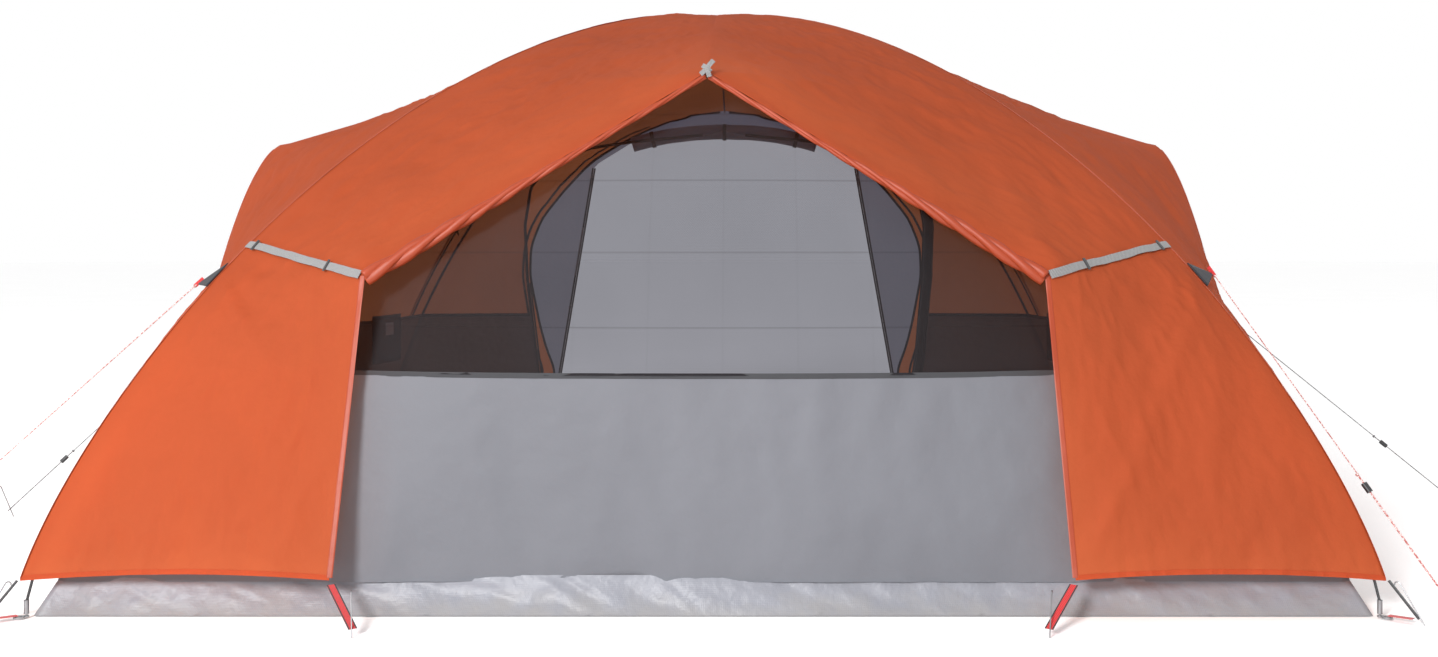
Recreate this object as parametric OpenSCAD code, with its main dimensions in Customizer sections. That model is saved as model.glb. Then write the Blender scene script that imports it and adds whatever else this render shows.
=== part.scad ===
// Family dome tent: two crossed main poles, a hoop pole on each side, a ridge pole
// under the flysheet, a mesh inner tent on a tub groundsheet, and a flysheet over it all.
// +X is the right of a person who faces the front, +Y is to the back, +Z is up.
// The origin is the centre of the footprint, on the ground.

/* [Frame] */
// Half width of the square that the main pole feet stand on
pole_half = 2165; // [2160:1:2175]
// Height of the lower main pole's centre at the crossing
pole_h = 2228; // [2200:1:2235]
// Diameter of a fibreglass rod
rod_d = 9.5; // [8:0.5:11]
// Longest length of one rod section
rod_len = 690; // [600:10:800]

/* [Side hoops] */
// Distance of the hoop feet from the tent's middle
hoop_foot_x = 2168; // [2162:1:2175]
// Distance of the hoop tops from the tent's middle
hoop_top_x = 2000; // [1950:10:2020]
// Half the distance between the two feet of a hoop
hoop_half = 935; // [850:5:940]
// Height of the hoops
hoop_h = 1650; // [1600:10:1655]

/* [Flysheet] */
// Half width of the flysheet at the ground line
fly_half = 2200; // [2190:1:2215]
// Height of the flysheet's crown
fly_h = 2268; // [2264:1:2280]
// Height of the flysheet's hem
hem_z = 130; // [100:5:150]
// Thickness of the flysheet
fly_t = 2; // [1:0.5:3]

/* [Inner tent] */
// Half width of the groundsheet on the ground
floor_half = 2150; // [2100:10:2160]
// Half width at the top of the tub wall
tub_top_half = 2090; // [2060:10:2100]
// Height of the tub wall
tub_h = 120; // [120:5:180]
// Height of the seam between wall cloth and mesh
seam_z = 765; // [700:5:900]
// Height of the inner tent's crown
inner_h = 2180; // [2160:5:2190]

/* [Fixings] */
// Diameter of a guyline
line_d = 3.6; // [3:0.2:4.4]
// Diameter of a peg's steel rod
peg_d = 4; // [3:0.5:5]
// Length of a peg
peg_len = 150; // [120:10:180]

/* [Hidden] */

ORANGE = [0.78, 0.34, 0.20];
GREY = [0.56, 0.57, 0.61];
PALE = [0.76, 0.76, 0.78];
MESH = [0.16, 0.16, 0.18];
BLACK = [0.07, 0.07, 0.08];
RED = [0.72, 0.08, 0.08];
STEEL = [0.72, 0.72, 0.74];

// Shape of a bent main pole: z = h * (1 - u^ARCH_A)^ARCH_B, u from 0 at the crown to 1
ARCH_A = 1.8;
ARCH_B = 0.72;
// Shape of a hoop: a superellipse
HOOP_N = 2;
// Shells as [half width, crown height, hoop foot x, hoop top x, hoop half length, hoop height]
FLY = [fly_half, fly_h, hoop_foot_x + 28, hoop_top_x + 25, hoop_half + 25, hoop_h + 22];
INNER = [2115, inner_h, 2092, 1930, hoop_half - 55, hoop_h - 60];

// Front edge of the footprint: every place further back is FRONT + its distance behind
FRONT = -2185;
PEAK = [0, FRONT + 450, 1800];
SHOULDER = [1140, FRONT + 200, 1090];
DOOR_FOOT = [1175, FRONT - 50, 145];
TAPE_Z = 1190;
REAR_TOP = [0, FRONT + 3840, 1980];
REAR_FOOT_Y = FRONT + 4420;
SEAM_GAP = 1.5;
RIDGE_N = 1.4;
rod_r = rod_d / 2;

// ---------- vectors and curves ----------
function unit(v) = v / norm(v);
function mix(a, b, q) = a + (b - a) * q;
function flip(p, sx, sy = 1) = [sx * p[0], sy * p[1], p[2]];
function steps(a, b, n, ease = 1) = [for (i = [0:n]) a + (b - a) * (1 - pow(1 - i / n, ease))];
function lengths(p) =
    [for (i = 0, s = 0; i < len(p); s = s + (i + 1 < len(p) ? norm(p[i + 1] - p[i]) : 0), i = i + 1) s];
// The point at fraction q of a curve's length
function along(p, q) =
    let (s = lengths(p), n = len(p) - 1,
         f = lookup(q * s[n], [for (i = [0:n]) [s[i], i]]),
         i = min(n - 1, floor(f)))
    mix(p[i], p[i + 1], f - i);
function heading(p, q) = unit(along(p, min(1, q + 0.004)) - along(p, max(0, q - 0.004)));
function stretch_of(p, a, b, n) = [for (i = [0:n]) along(p, a + (b - a) * i / n)];

// Half width of a bent main pole or shell corner at height z
function arch_u(z, h) = pow(max(0, 1 - pow(z / h, 1 / ARCH_B)), 1 / ARCH_A);
function corner_of(shell, z) = let (u = shell[0] * arch_u(z, shell[1])) [u, u, z];
function hoop_y(shell, z) = shell[4] * pow(max(0, 1 - pow(z / shell[5], HOOP_N)), 1 / HOOP_N);
function hoop_x(shell, z) = mix(shell[2], shell[3], z / shell[5]);
// The line that the side panel runs to: up the hoop, then in along the side ridge
function side_of(shell, z) = z <= shell[5]
    ? [hoop_x(shell, z), hoop_y(shell, z), z]
    : [shell[3] * (1 - (z - shell[5]) / (shell[1] - shell[5])), 0, z];

// ---------- solids ----------
// A thin sheet over a grid of points
function grid_at(g, i, j) = g[max(0, min(len(g) - 1, i))][max(0, min(len(g[0]) - 1, j))];
function grid_normal(g, i, j) =
    unit(cross(grid_at(g, i + 1, j) - grid_at(g, i - 1, j), grid_at(g, i, j + 1) - grid_at(g, i, j - 1)));
module sheet(g, t) {
    n = len(g);
    m = len(g[0]);
    k = n * m;
    over = [for (i = [0:n - 1]) for (j = [0:m - 1]) g[i][j] + grid_normal(g, i, j) * t / 2];
    under = [for (i = [0:n - 1]) for (j = [0:m - 1]) g[i][j] - grid_normal(g, i, j) * t / 2];
    cells = [for (i = [0:n - 2]) for (j = [0:m - 2]) let (c = i * m + j) [c, c + 1, c + m + 1, c + m]];
    rim = concat(
        [for (i = [0:n - 2]) [i * m, (i + 1) * m]],
        [for (j = [0:m - 2]) [(n - 1) * m + j, (n - 1) * m + j + 1]],
        [for (i = [n - 2:-1:0]) [(i + 1) * m + m - 1, i * m + m - 1]],
        [for (j = [m - 2:-1:0]) [j + 1, j]]);
    polyhedron(concat(over, under), concat(
        [for (c = cells) [c[0], c[1], c[2]]], [for (c = cells) [c[0], c[2], c[3]]],
        [for (c = cells) [c[2] + k, c[1] + k, c[0] + k]], [for (c = cells) [c[3] + k, c[2] + k, c[0] + k]],
        [for (e = rim) [e[0], e[1], e[1] + k]], [for (e = rim) [e[0], e[1] + k, e[0] + k]]));
}
// A grid of straight lines between two curves, drawn in from each by gap
function ruled(a, b, n, gap = SEAM_GAP) =
    [for (i = [0:len(a) - 1])
        let (w = norm(b[i] - a[i]), e = min(0.2, gap / max(w, 1)))
        [for (j = [0:n]) mix(a[i], b[i], e + (1 - 2 * e) * j / n)]];
module pair() {
    children();
    mirror([1, 0, 0]) children();
}

// A round rod swept along points; ref lies across the curve
module tube(p, r, ref, sides = 8) {
    n = len(p);
    function dir(i) = unit(p[min(n - 1, i + 1)] - p[max(0, i - 1)]);
    pts = [for (i = [0:n - 1])
        let (t = dir(i), u = unit(cross(ref, t)), w = cross(t, u))
        for (k = [0:sides - 1]) p[i] + r * (cos(360 * k / sides) * u + sin(360 * k / sides) * w)];
    walls = [for (i = [0:n - 2]) for (k = [0:sides - 1])
        let (a = i * sides + k, b = i * sides + (k + 1) % sides) [a, a + sides, b + sides, b]];
    polyhedron(pts, concat(
        [for (f = walls) [f[0], f[1], f[2]]], [for (f = walls) [f[0], f[2], f[3]]],
        [[for (k = [0:sides - 1]) k], [for (k = [sides - 1:-1:0]) (n - 1) * sides + k]]));
}
// Stands children on point p with their +Z along d
module aim(p, d) {
    translate(p) rotate([0, acos(d[2] / norm(d)), atan2(d[1], d[0])]) children();
}

// ---------- the pole curves ----------
POLE_TOP_STEP = 13;
FOOT_Z = 50;
CURVE_N = 64;
function main_curve(side, h) =
    [for (i = [0:CURVE_N]) let (u = -cos(180 * i / CURVE_N), rise = pow(1 - pow(abs(u), ARCH_A), ARCH_B))
        [side * u * pole_half, u * pole_half, FOOT_Z + (h - FOOT_Z) * rise]];
function hoop_curve(side) =
    [for (i = [0:CURVE_N]) let (a = 180 * i / CURVE_N, c = cos(a), s = sin(a))
        let (z = hoop_h * pow(s, 2 / HOOP_N))
        [side * mix(hoop_foot_x, hoop_top_x, z / hoop_h), -sign(c) * hoop_half * pow(abs(c), 2 / HOOP_N),
         FOOT_Z + z * (hoop_h - FOOT_Z) / hoop_h]];
RIDGE_Z = pole_h + 28;
function ridge_curve() =
    [for (i = [0:CURVE_N / 2]) let (y = mix(PEAK[1] + 30, REAR_TOP[1] - 20, 2 * i / CURVE_N))
        [0, y, y < 0 ? RIDGE_Z - (RIDGE_Z - PEAK[2] + 14) * pow(y / PEAK[1], RIDGE_N)
                     : RIDGE_Z - (RIDGE_Z - REAR_TOP[2] + 16) * pow(y / REAR_TOP[1], RIDGE_N)]];
MAIN_A = main_curve(1, pole_h);
MAIN_B = main_curve(-1, pole_h + POLE_TOP_STEP);
HOOP_L = hoop_curve(-1);
HOOP_R = hoop_curve(1);
RIDGE = ridge_curve();
ACROSS_A = [1, -1, 0];
ACROSS_B = [1, 1, 0];
ACROSS_HOOP = [1, 0, 0.09];
ACROSS_RIDGE = [1, 0, 0];
function sections(p) = ceil(lengths(p)[len(p) - 1] / rod_len);

ROD_GAP = 1;
// The rods of one pole, butted end to end inside their ferrules
module rods(p, ref, rings) {
    n = sections(p);
    e = ROD_GAP / lengths(p)[len(p) - 1];
    for (i = [0:n - 1]) tube(stretch_of(p, i / n + e, (i + 1) / n - e, rings), rod_r, ref);
}
module main_pole_a() { color(BLACK) rods(MAIN_A, ACROSS_A, 5); }
module main_pole_b() { color(BLACK) rods(MAIN_B, ACROSS_B, 5); }
module side_pole_left() { color(BLACK) rods(HOOP_L, ACROSS_HOOP, 8); }
module side_pole_right() { color(BLACK) rods(HOOP_R, [1, 0, -0.09], 8); }
module ridge_pole() { color(BLACK) rods(RIDGE, ACROSS_RIDGE, 4); }

// Steel sleeves where two rods meet
FERRULE_L = 40;
FERRULE_BORE = rod_r + 1.5;
FERRULE_R = FERRULE_BORE + 0.7;
module sleeve(length) {
    difference() {
        cylinder(h = length, r = FERRULE_R, center = true, $fn = 24);
        cylinder(h = length + 2, r = FERRULE_BORE, center = true, $fn = 24);
    }
}
module pole_ferrules() {
    color(STEEL) for (p = [MAIN_A, MAIN_B, HOOP_L, HOOP_R, RIDGE]) {
        n = sections(p);
        // No sleeve sits at the crossing, where the poles lie on each other
        for (i = [1:n - 1]) if (norm(along(p, i / n) - [0, 0, pole_h]) > FERRULE_L)
            aim(along(p, i / n), heading(p, i / n)) sleeve(FERRULE_L);
    }
}

// Hollow tips on the eight feet, each over the last of its rod and a pin
FEET = concat(
    [for (sx = [-1, 1], sy = [-1, 1]) [sx * pole_half, sy * pole_half, FOOT_Z]],
    [for (sx = [-1, 1], sy = [-1, 1]) [sx * hoop_foot_x, sy * hoop_half, FOOT_Z]]);
TIP_L = 44;
TIP_Z = 14;
TIP_ROOM = 1.2;
module pole_tips() {
    color(STEEL) for (f = FEET) translate([f[0], f[1], TIP_Z + TIP_L / 2])
        difference() {
            cylinder(h = TIP_L, r = FERRULE_R + TIP_ROOM, center = true, $fn = 24);
            cylinder(h = TIP_L + 2, r = FERRULE_BORE + TIP_ROOM, center = true, $fn = 24);
        }
}
// A flat steel ring beside each foot, with the pin that the tip stands on
RING_R = 11;
RING_OUT = 17;
RING_T = 5;
RING_Z = 4;
PIN_R = 3;
PAD_R = 8.5;
// Width of the neck from a side hoop's foot to its ring
NECK_W = 12;
CORNER_REACH = 23;
SIDE_REACH = 40;
module ring_and_pin(f, out, reach) {
    c = [f[0], f[1], 0] + unit(out) * reach;
    difference() {
        union() {
            translate([c[0], c[1], RING_Z]) cylinder(h = RING_T, r = RING_OUT, $fn = 40);
            translate([f[0], f[1], RING_Z]) cylinder(h = RING_T, r = PAD_R, $fn = 32);
            if (reach > RING_OUT + PAD_R) translate([f[0], f[1], RING_Z])
                rotate([0, 0, atan2(out[1], out[0])])
                    translate([0, -NECK_W / 2, 0]) cube([reach, NECK_W, RING_T]);
            translate([f[0], f[1], RING_Z]) cylinder(h = FOOT_Z - RING_Z - 6, r = PIN_R, $fn = 20);
        }
        translate([c[0], c[1], RING_Z - 1]) cylinder(h = RING_T + 2, r = RING_R, $fn = 40);
    }
}
module foot_rings() {
    color(STEEL) for (f = FEET) let (side = abs(f[1]) < pole_half)
        ring_and_pin(f, [f[0], side ? 0 : f[1], 0], side ? SIDE_REACH : CORNER_REACH);
}

// Hook clips that hang the inner tent from the poles
CLIP_AT = [0.10, 0.19, 0.27, 0.36, 0.445];
CLIP_DROP = 26;
module clip() {
    difference() {
        cylinder(h = 12, r = rod_r + 4.4, center = true, $fn = 24);
        cylinder(h = 14, r = rod_r + 1.5, center = true, $fn = 24);
        translate([-10, 0, 0]) cube([20, 5, 16], center = true);
    }
    translate([rod_r + 3 + CLIP_DROP / 2, 0, 0]) cube([CLIP_DROP, 3, 10], center = true);
}
module clips_on(p, at, ref) {
    for (q = at) {
        d = heading(p, q);
        inward = unit(cross(cross(d, [0, 0, -1] + unit([-along(p, q)[0], -along(p, q)[1], 0])), d));
        w = cross(d, inward);
        multmatrix([[inward[0], w[0], d[0], along(p, q)[0]],
                    [inward[1], w[1], d[1], along(p, q)[1]],
                    [inward[2], w[2], d[2], along(p, q)[2]], [0, 0, 0, 1]]) clip();
    }
}
module pole_clips() {
    color(BLACK) {
        for (p = [MAIN_A, MAIN_B]) clips_on(p, concat(CLIP_AT, [for (q = CLIP_AT) 1 - q]));
        for (p = [HOOP_L, HOOP_R]) clips_on(p, [0.12, 0.26, 0.40, 0.60, 0.74, 0.88]);
    }
}

// ---------- flysheet ----------
CROWN_GAP = 10;
BAND_Z = 850;
function levels(a, b, n, ease) = steps(a, b, n, ease);
// A band's rows, from its [lowest z, highest z, number of steps, crowding towards the top]
function rows(band) = levels(band[0] + SEAM_GAP, band[1] - SEAM_GAP, band[2], band[3]);
// One side's front or back panel, as horizontal lines from the corner to the hoop or ridge
module side_bands(shell, bands, t, sx, sy) {
    for (band = bands) {
        zs = rows(band);
        sheet(ruled([for (z = zs) flip(corner_of(shell, z), sx, sy)],
                    [for (z = zs) flip(side_of(shell, z), sx, sy)], 4), t);
    }
}
// The upright wall inside a hoop: a little smaller than the hoop, so a seam's gap is left around it
WALL_IN = 5;
WALL_DOWN = 12;
module hoop_wall(shell, bands, t, sx) {
    wall = [shell[0], shell[1], shell[2], shell[3], shell[4] - WALL_IN, shell[5] - WALL_DOWN];
    zs = [for (band = bands) each [for (z = rows(band)) min(z, z * wall[5] / shell[5])]];
    sheet(ruled([for (z = zs) flip(side_of(wall, z), sx, 1)],
                [for (z = zs) flip(side_of(wall, z), sx, -1)], 4), t);
}
FLY_BANDS = [[hem_z, BAND_Z, 3, 1], [BAND_Z, FLY[5], 8, 2.4]];
FLY_CROWN = [FLY[5], fly_h - CROWN_GAP, 6, 2];
module fly_side(sx) {
    color(ORANGE) {
        for (sy = [-1, 1]) side_bands(FLY, concat(FLY_BANDS, [FLY_CROWN]), fly_t, sx, sy);
        hoop_wall(FLY, FLY_BANDS, fly_t, sx);
    }
}
module fly_side_left() { fly_side(-1); }
module fly_side_right() { fly_side(1); }

// Front leg: from the corner pole to the edge of the front opening, up to the grey tape
module fly_front_leg(sx) {
    color(ORANGE) for (band = [[0, 0.48], [0.49, 1]]) {
        qs = steps(band[0], band[1], 4);
        sheet(ruled([for (q = qs) flip(corner_of(FLY, mix(hem_z, TAPE_Z - 4, q)), sx, -1)],
                    [for (q = qs) flip(mix(DOOR_FOOT, SHOULDER - [0, 0, 4], q), sx)], 4), fly_t);
    }
}
module fly_front_leg_left() { fly_front_leg(-1); }
module fly_front_leg_right() { fly_front_leg(1); }

// Front roof: from the corner pole in to the opening's sloping edge and the ridge
EDGE_PART = 0.5;
EDGE_POLE_Z = 1800;
function fly_ridge_front(q) = let (y = mix(PEAK[1], 0, q))
    [0, y, fly_h - (fly_h - PEAK[2]) * pow(y / PEAK[1], RIDGE_N)];
function front_edge(q) = q <= EDGE_PART
    ? mix(SHOULDER, PEAK, q / EDGE_PART)
    : fly_ridge_front((q - EDGE_PART) / (1 - EDGE_PART));
function front_pole(q) = corner_of(FLY, q <= EDGE_PART
    ? mix(TAPE_Z, EDGE_POLE_Z, q / EDGE_PART)
    : mix(EDGE_POLE_Z, fly_h, 1 - pow(1 - (q - EDGE_PART) / (1 - EDGE_PART), 2)));
module fly_front_roof() {
    // Each band's start, end and number of rows
    bands = [[0.002, 0.25, 3], [0.252, 0.5, 3], [0.502, 0.74, 4], [0.742, 0.955, 5]];
    color(ORANGE) pair() for (band = bands) {
        qs = steps(band[0], band[1], band[2]);
        sheet(ruled([for (q = qs) flip(front_pole(q), 1, -1)], [for (q = qs) front_edge(q)], 5), fly_t);
    }
}

// Back of the flysheet: a flat leaning panel in the middle, with the roof folding down to it
ARCH = [[130, 1120], [400, 1072], [550, 1122], [700, 1155], [1000, 1200], [1180, 1185], [1350, 1110],
        [1520, 965], [1690, 795], [1820, 570], [1920, 345], [1965, 170], [1980, 8]];
function rear_y(z) = mix(REAR_FOOT_Y, REAR_TOP[1], (z - 130) / (REAR_TOP[2] - 130));
function rear_arch(z) = z <= REAR_TOP[2]
    ? [lookup(z, ARCH), rear_y(z), z]
    : [4, REAR_TOP[1] * pow((fly_h - z) / (fly_h - REAR_TOP[2]), 1 / RIDGE_N), z];
module rear_band(a, b, n, ease = 1) {
    zs = levels(a + SEAM_GAP, b - SEAM_GAP, n, ease);
    sheet(ruled([for (z = zs) corner_of(FLY, z)], [for (z = zs) rear_arch(z)], 4), fly_t);
}
module fly_rear_corner() { color(ORANGE) { rear_band(hem_z, BAND_Z, 3); rear_band(BAND_Z, 1350, 4); } }
module fly_rear_right() { fly_rear_corner(); }
module fly_rear_left() { mirror([1, 0, 0]) fly_rear_corner(); }
module fly_rear_roof() {
    color(ORANGE) pair() {
        rear_band(1350, 1560, 3);
        rear_band(1560, 1780, 3);
        rear_band(1780, REAR_TOP[2], 3);
        rear_band(REAR_TOP[2], fly_h - CROWN_GAP, 5, 2);
    }
}
module fly_crown_patch() { color(ORANGE) translate([0, 0, fly_h + 2]) cylinder(h = 2, r = 190, $fn = 40); }

// Grey panel round the back door
DOOR_LOW_HALF = 1090;
DOOR_TOP_HALF = 780;
DOOR_TOP_Z = 1660;
DOOR_CAP_HALF = 460;
DOOR_CAP_Z = 1850;
DOOR = [[130, DOOR_LOW_HALF], [DOOR_TOP_Z, DOOR_TOP_HALF], [DOOR_CAP_Z, DOOR_CAP_HALF]];
module rear_porch_panel() {
    color(GREY) pair() {
        for (band = [[132, 700, 3], [702, DOOR_TOP_Z - 310, 4], [DOOR_TOP_Z - 308, DOOR_TOP_Z, 3],
                     [DOOR_TOP_Z + 2, DOOR_CAP_Z - 4, 2]]) {
            zs = levels(band[0], band[1], band[2], 1);
            sheet(ruled([for (z = zs) [lookup(z, ARCH) - 16, rear_y(z), z]],
                        [for (z = zs) [lookup(z, DOOR) + 14, rear_y(z), z]], 2), fly_t);
        }
        zs = levels(DOOR_CAP_Z, 1950, 4, 1);
        sheet(ruled([for (z = zs) [lookup(z, ARCH) - 52, rear_y(z), z]],
                    [for (z = zs) [1, rear_y(z), z]], 3), fly_t);
    }
}
// The door itself, rolled up under the roof
ROLL_R = 45;
ROLL_HALF = 540;
function roll_at(x) = [x, rear_y(DOOR_CAP_Z) - 80, 1850 - 75 * pow(abs(x / ROLL_HALF), 2.2)];
module rear_door_roll() {
    color(GREY) tube([for (q = [-1:0.125:1]) roll_at(q * ROLL_HALF)], ROLL_R, [0, 1, 0], 12);
}
module rear_door_ties() {
    color(BLACK) for (x = [-420, 0, 420])
        aim(roll_at(x), roll_at(x + 1) - roll_at(x - 1)) difference() {
            cylinder(h = 22, r = ROLL_R + 3.5, center = true, $fn = 32);
            cylinder(h = 24, r = ROLL_R + 1.5, center = true, $fn = 32);
        }
}

// Zips down the two sides of the back door
ZIP_W = 9;
ZIP_T = 3;
REAR_LEAN = atan2(REAR_FOOT_Y - REAR_TOP[1], REAR_TOP[2] - 130);
function door_line(z) = [lookup(z, DOOR), rear_y(z), z];
DOOR_DIR = unit(door_line(DOOR_TOP_Z) - door_line(hem_z));
DOOR_OUT = unit([0, REAR_TOP[2] - 130, REAR_FOOT_Y - REAR_TOP[1]]);
module on_rear(z, sx) {
    s = [sx * DOOR_DIR[0], DOOR_DIR[1], DOOR_DIR[2]];
    a = cross(DOOR_OUT, s);
    p = flip(door_line(z), sx);
    multmatrix([[a[0], DOOR_OUT[0], s[0], p[0]], [a[1], DOOR_OUT[1], s[1], p[1]],
                [a[2], DOOR_OUT[2], s[2], p[2]], [0, 0, 0, 1]]) children();
}
module rear_zips() {
    length = norm(door_line(DOOR_TOP_Z - 12) - door_line(hem_z + 12));
    color(BLACK) for (sx = [-1, 1])
        on_rear(hem_z + 12, sx) translate([-ZIP_W / 2, -ZIP_T / 2, 0]) cube([ZIP_W, ZIP_T, length]);
}

// Zip sliders: a body round the zip, with a bridge that the pull hangs from
SLIDER_Z = DOOR_TOP_Z - 70;
SLIDER = [15, 10, 20];
// Distance of the pull's pivot from the slider's face
PULL_OUT = 3.5;
module zip_slider() {
    difference() {
        translate([-SLIDER[0] / 2, -SLIDER[1] / 2, 0]) cube(SLIDER);
        translate([-ZIP_W / 2 - 0.8, -ZIP_T / 2 - 0.8, -1]) cube([ZIP_W + 1.6, ZIP_T + 1.6, SLIDER[2] + 2]);
    }
    for (x = [-4, 4]) translate([x - 1, SLIDER[1] / 2 - 1, 7]) cube([2, 6, 6]);
    translate([-4, SLIDER[1] / 2 + PULL_OUT, 10]) rotate([0, 90, 0]) cylinder(h = 8, r = 1.2, $fn = 20);
}
module zip_pull() {
    translate([0, SLIDER[1] / 2 + PULL_OUT, 10]) difference() {
        union() {
            rotate([0, 90, 0]) cylinder(h = 4.4, r = 2.6, center = true, $fn = 24);
            translate([-2.2, -1.1, -44]) cube([4.4, 2.2, 43]);
            translate([-6, -1.6, -62]) cube([12, 3.2, 30]);
        }
        rotate([0, 90, 0]) cylinder(h = 10, r = 1.28, center = true, $fn = 24);
    }
}
module rear_slider_left() { color(STEEL) on_rear(SLIDER_Z, -1) zip_slider(); }
module rear_slider_right() { color(STEEL) on_rear(SLIDER_Z, 1) zip_slider(); }
module rear_pull_left() { color(BLACK) on_rear(SLIDER_Z, -1) zip_pull(); }
module rear_pull_right() { color(BLACK) on_rear(SLIDER_Z, 1) zip_pull(); }

// The front door, rolled up and tied along the sloping edges of the opening
module front_roll(sx) {
    color(ORANGE) tube([for (q = [0.03:0.094:0.98]) flip(mix(SHOULDER, PEAK, q) + [-6, 38, -26], sx)],
                       20, [0, 1, 0], 10);
}
module front_roll_left() { front_roll(-1); }
module front_roll_right() { front_roll(1); }
// Grey tape from the pole to the corner of the opening
module front_tape(sx) {
    a = flip(corner_of(FLY, TAPE_Z), 1, -1);
    out = unit([a[1] - SHOULDER[1], SHOULDER[0] - a[0], 0]);
    lift = 6;
    color(GREY) sheet([for (q = steps(0, 1, 6))
        [for (w = [-15, 15]) let (p = mix(a, SHOULDER, q) + (lift - w * mix(1.05, 0.4, q)) * out)
            [sx * p[0], p[1], p[2] + w]]], 1.6);
}
module front_tape_left() { front_tape(-1); }
module front_tape_right() { front_tape(1); }
// Short tie that holds the peak of the opening to the ridge pole
module peak_tie() {
    color(GREY) translate([0, PEAK[1] - 5, PEAK[2] - 38]) hull() {
        cube([26, 3, 12], center = true);
        translate([12, 0, 56]) cube([14, 3, 8], center = true);
    }
}

// ---------- inner tent ----------
INNER_T = 2;
FRONT_MID = [[150, 95], [seam_z, 112], [1200, 240], [1500, 420], [1730, 680], [1880, 1040], [2010, 1480],
             [inner_h, 2185]];
REAR_MID = [[150, 95], [DOOR_TOP_Z, 545], [1860, 760], [1960, 1200], [2060, 1620], [inner_h, 2185]];
// A point of the inner tent's front (-1) or back (1), s from -1 at its left corner to 1
function inner_face(sy, z, s) =
    let (c = corner_of(INNER, z), mid = -FRONT - lookup(z, sy < 0 ? FRONT_MID : REAR_MID),
         y = c[1] + (mid - c[1]) * (1 - pow(abs(s), sy < 0 ? 2.2 : 3)))
    [s * c[0], sy * y, z];
CORNER_GAP = 20;
function short_of_corner(z) = 1 - CORNER_GAP / corner_of(INNER, z)[0];
module face_band(sy, a, b, n, s0, s1, m, ease = 1) {
    zs = levels(a + SEAM_GAP, b - SEAM_GAP, n, ease);
    sheet([for (z = zs) let (k = short_of_corner(z))
        [for (j = [0:m]) inner_face(sy, z, k * mix(s0, s1, j / m))]], INNER_T);
}
// The same band in panels of equal width, a seam's gap apart
PANELS = 4;
PANEL_GAP = 0.002;
module face_panels(sy, a, b, n, m, ease = 1) {
    for (i = [0:PANELS - 1])
        face_band(sy, a, b, n, mix(-1, 1, i / PANELS) + PANEL_GAP,
                  mix(-1, 1, (i + 1) / PANELS) - PANEL_GAP, m, ease);
}
module inner_wall_front() { color(GREY) face_panels(-1, tub_h + 4, seam_z, 2, 2); }
module mesh_front() {
    color(MESH) {
        face_panels(-1, seam_z, 1500, 4, 2);
        face_panels(-1, 1500, 1880, 3, 2);
        face_band(-1, 1880, inner_h - 2 * CROWN_GAP, 3, -1, 1, 6, 1.6);
    }
}
// The back wall leaves the door's width open
INNER_DOOR_HALF = 1180;
INNER_DOOR_TOP = 1800;
INNER_DOOR = [[150, 1120], [500, 1160], [1000, INNER_DOOR_HALF], [1300, 1165], [1520, 1100], [1660, 960],
              [1740, 760], [INNER_DOOR_TOP, 400]];
module door_side_band(a, b, n, sx) {
    zs = levels(a + SEAM_GAP, b - SEAM_GAP, n, 1);
    sheet([for (z = zs) let (s0 = lookup(z, INNER_DOOR) / corner_of(INNER, z)[0])
        [for (j = [0:4]) inner_face(1, z, sx * mix(s0, short_of_corner(z), j / 4))]], INNER_T);
}
module inner_wall_rear() { color(GREY) for (sx = [-1, 1]) door_side_band(tub_h + 4, seam_z, 3, sx); }
module mesh_rear() {
    color(MESH) {
        for (sx = [-1, 1]) {
            door_side_band(seam_z, 1300, 4, sx);
            door_side_band(1300, 1520, 2, sx);
            door_side_band(1520, 1680, 2, sx);
            door_side_band(1680, INNER_DOOR_TOP, 2, sx);
        }
        face_panels(1, INNER_DOOR_TOP, inner_h - 2 * CROWN_GAP, 5, 2, 1.5);
    }
}
INNER_LOW = [tub_h + 4, seam_z, 3, 1];
INNER_MID = [seam_z, INNER[5], 7, 2.2];
INNER_CROWN = [INNER[5], inner_h - 2 * CROWN_GAP, 5, 2];
module inner_side_low(sx) {
    color(GREY) {
        for (sy = [-1, 1]) side_bands(INNER, [INNER_LOW], INNER_T, sx, sy);
        hoop_wall(INNER, [INNER_LOW], INNER_T, sx);
    }
}
module inner_side_mesh(sx) {
    color(MESH) {
        for (sy = [-1, 1]) side_bands(INNER, [INNER_MID, INNER_CROWN], INNER_T, sx, sy);
        hoop_wall(INNER, [INNER_MID], INNER_T, sx);
    }
}
module inner_wall_left() { inner_side_low(-1); }
module inner_wall_right() { inner_side_low(1); }
module mesh_left() { inner_side_mesh(-1); }
module mesh_right() { inner_side_mesh(1); }

// Tub groundsheet: a floor and four walls that lean in
FLOOR_T = 3;
module groundsheet() {
    color(PALE) {
        side = 2 * floor_half - 8;
        translate([-side / 2, -side / 2, 0]) cube([side, side, FLOOR_T]);
        for (a = [0:90:270]) rotate([0, 0, a])
            sheet([for (q = [0, 1]) let (w = mix(floor_half, tub_top_half, q))
                [for (s = [-0.998, -0.5, 0, 0.5, 0.998]) [s * w, -w, mix(2, tub_h, q)]]], FLOOR_T - 1);
    }
}

// The inner back door, rolled up and tied at the right of its opening
module inner_door_roll() {
    color(MESH) tube([for (z = [420:90:1320]) let (x = lookup(z, INNER_DOOR) + 26)
        inner_face(1, z, x / corner_of(INNER, z)[0]) - [0, 52, 0]], 32, [1, 0, 0], 10);
}
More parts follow.
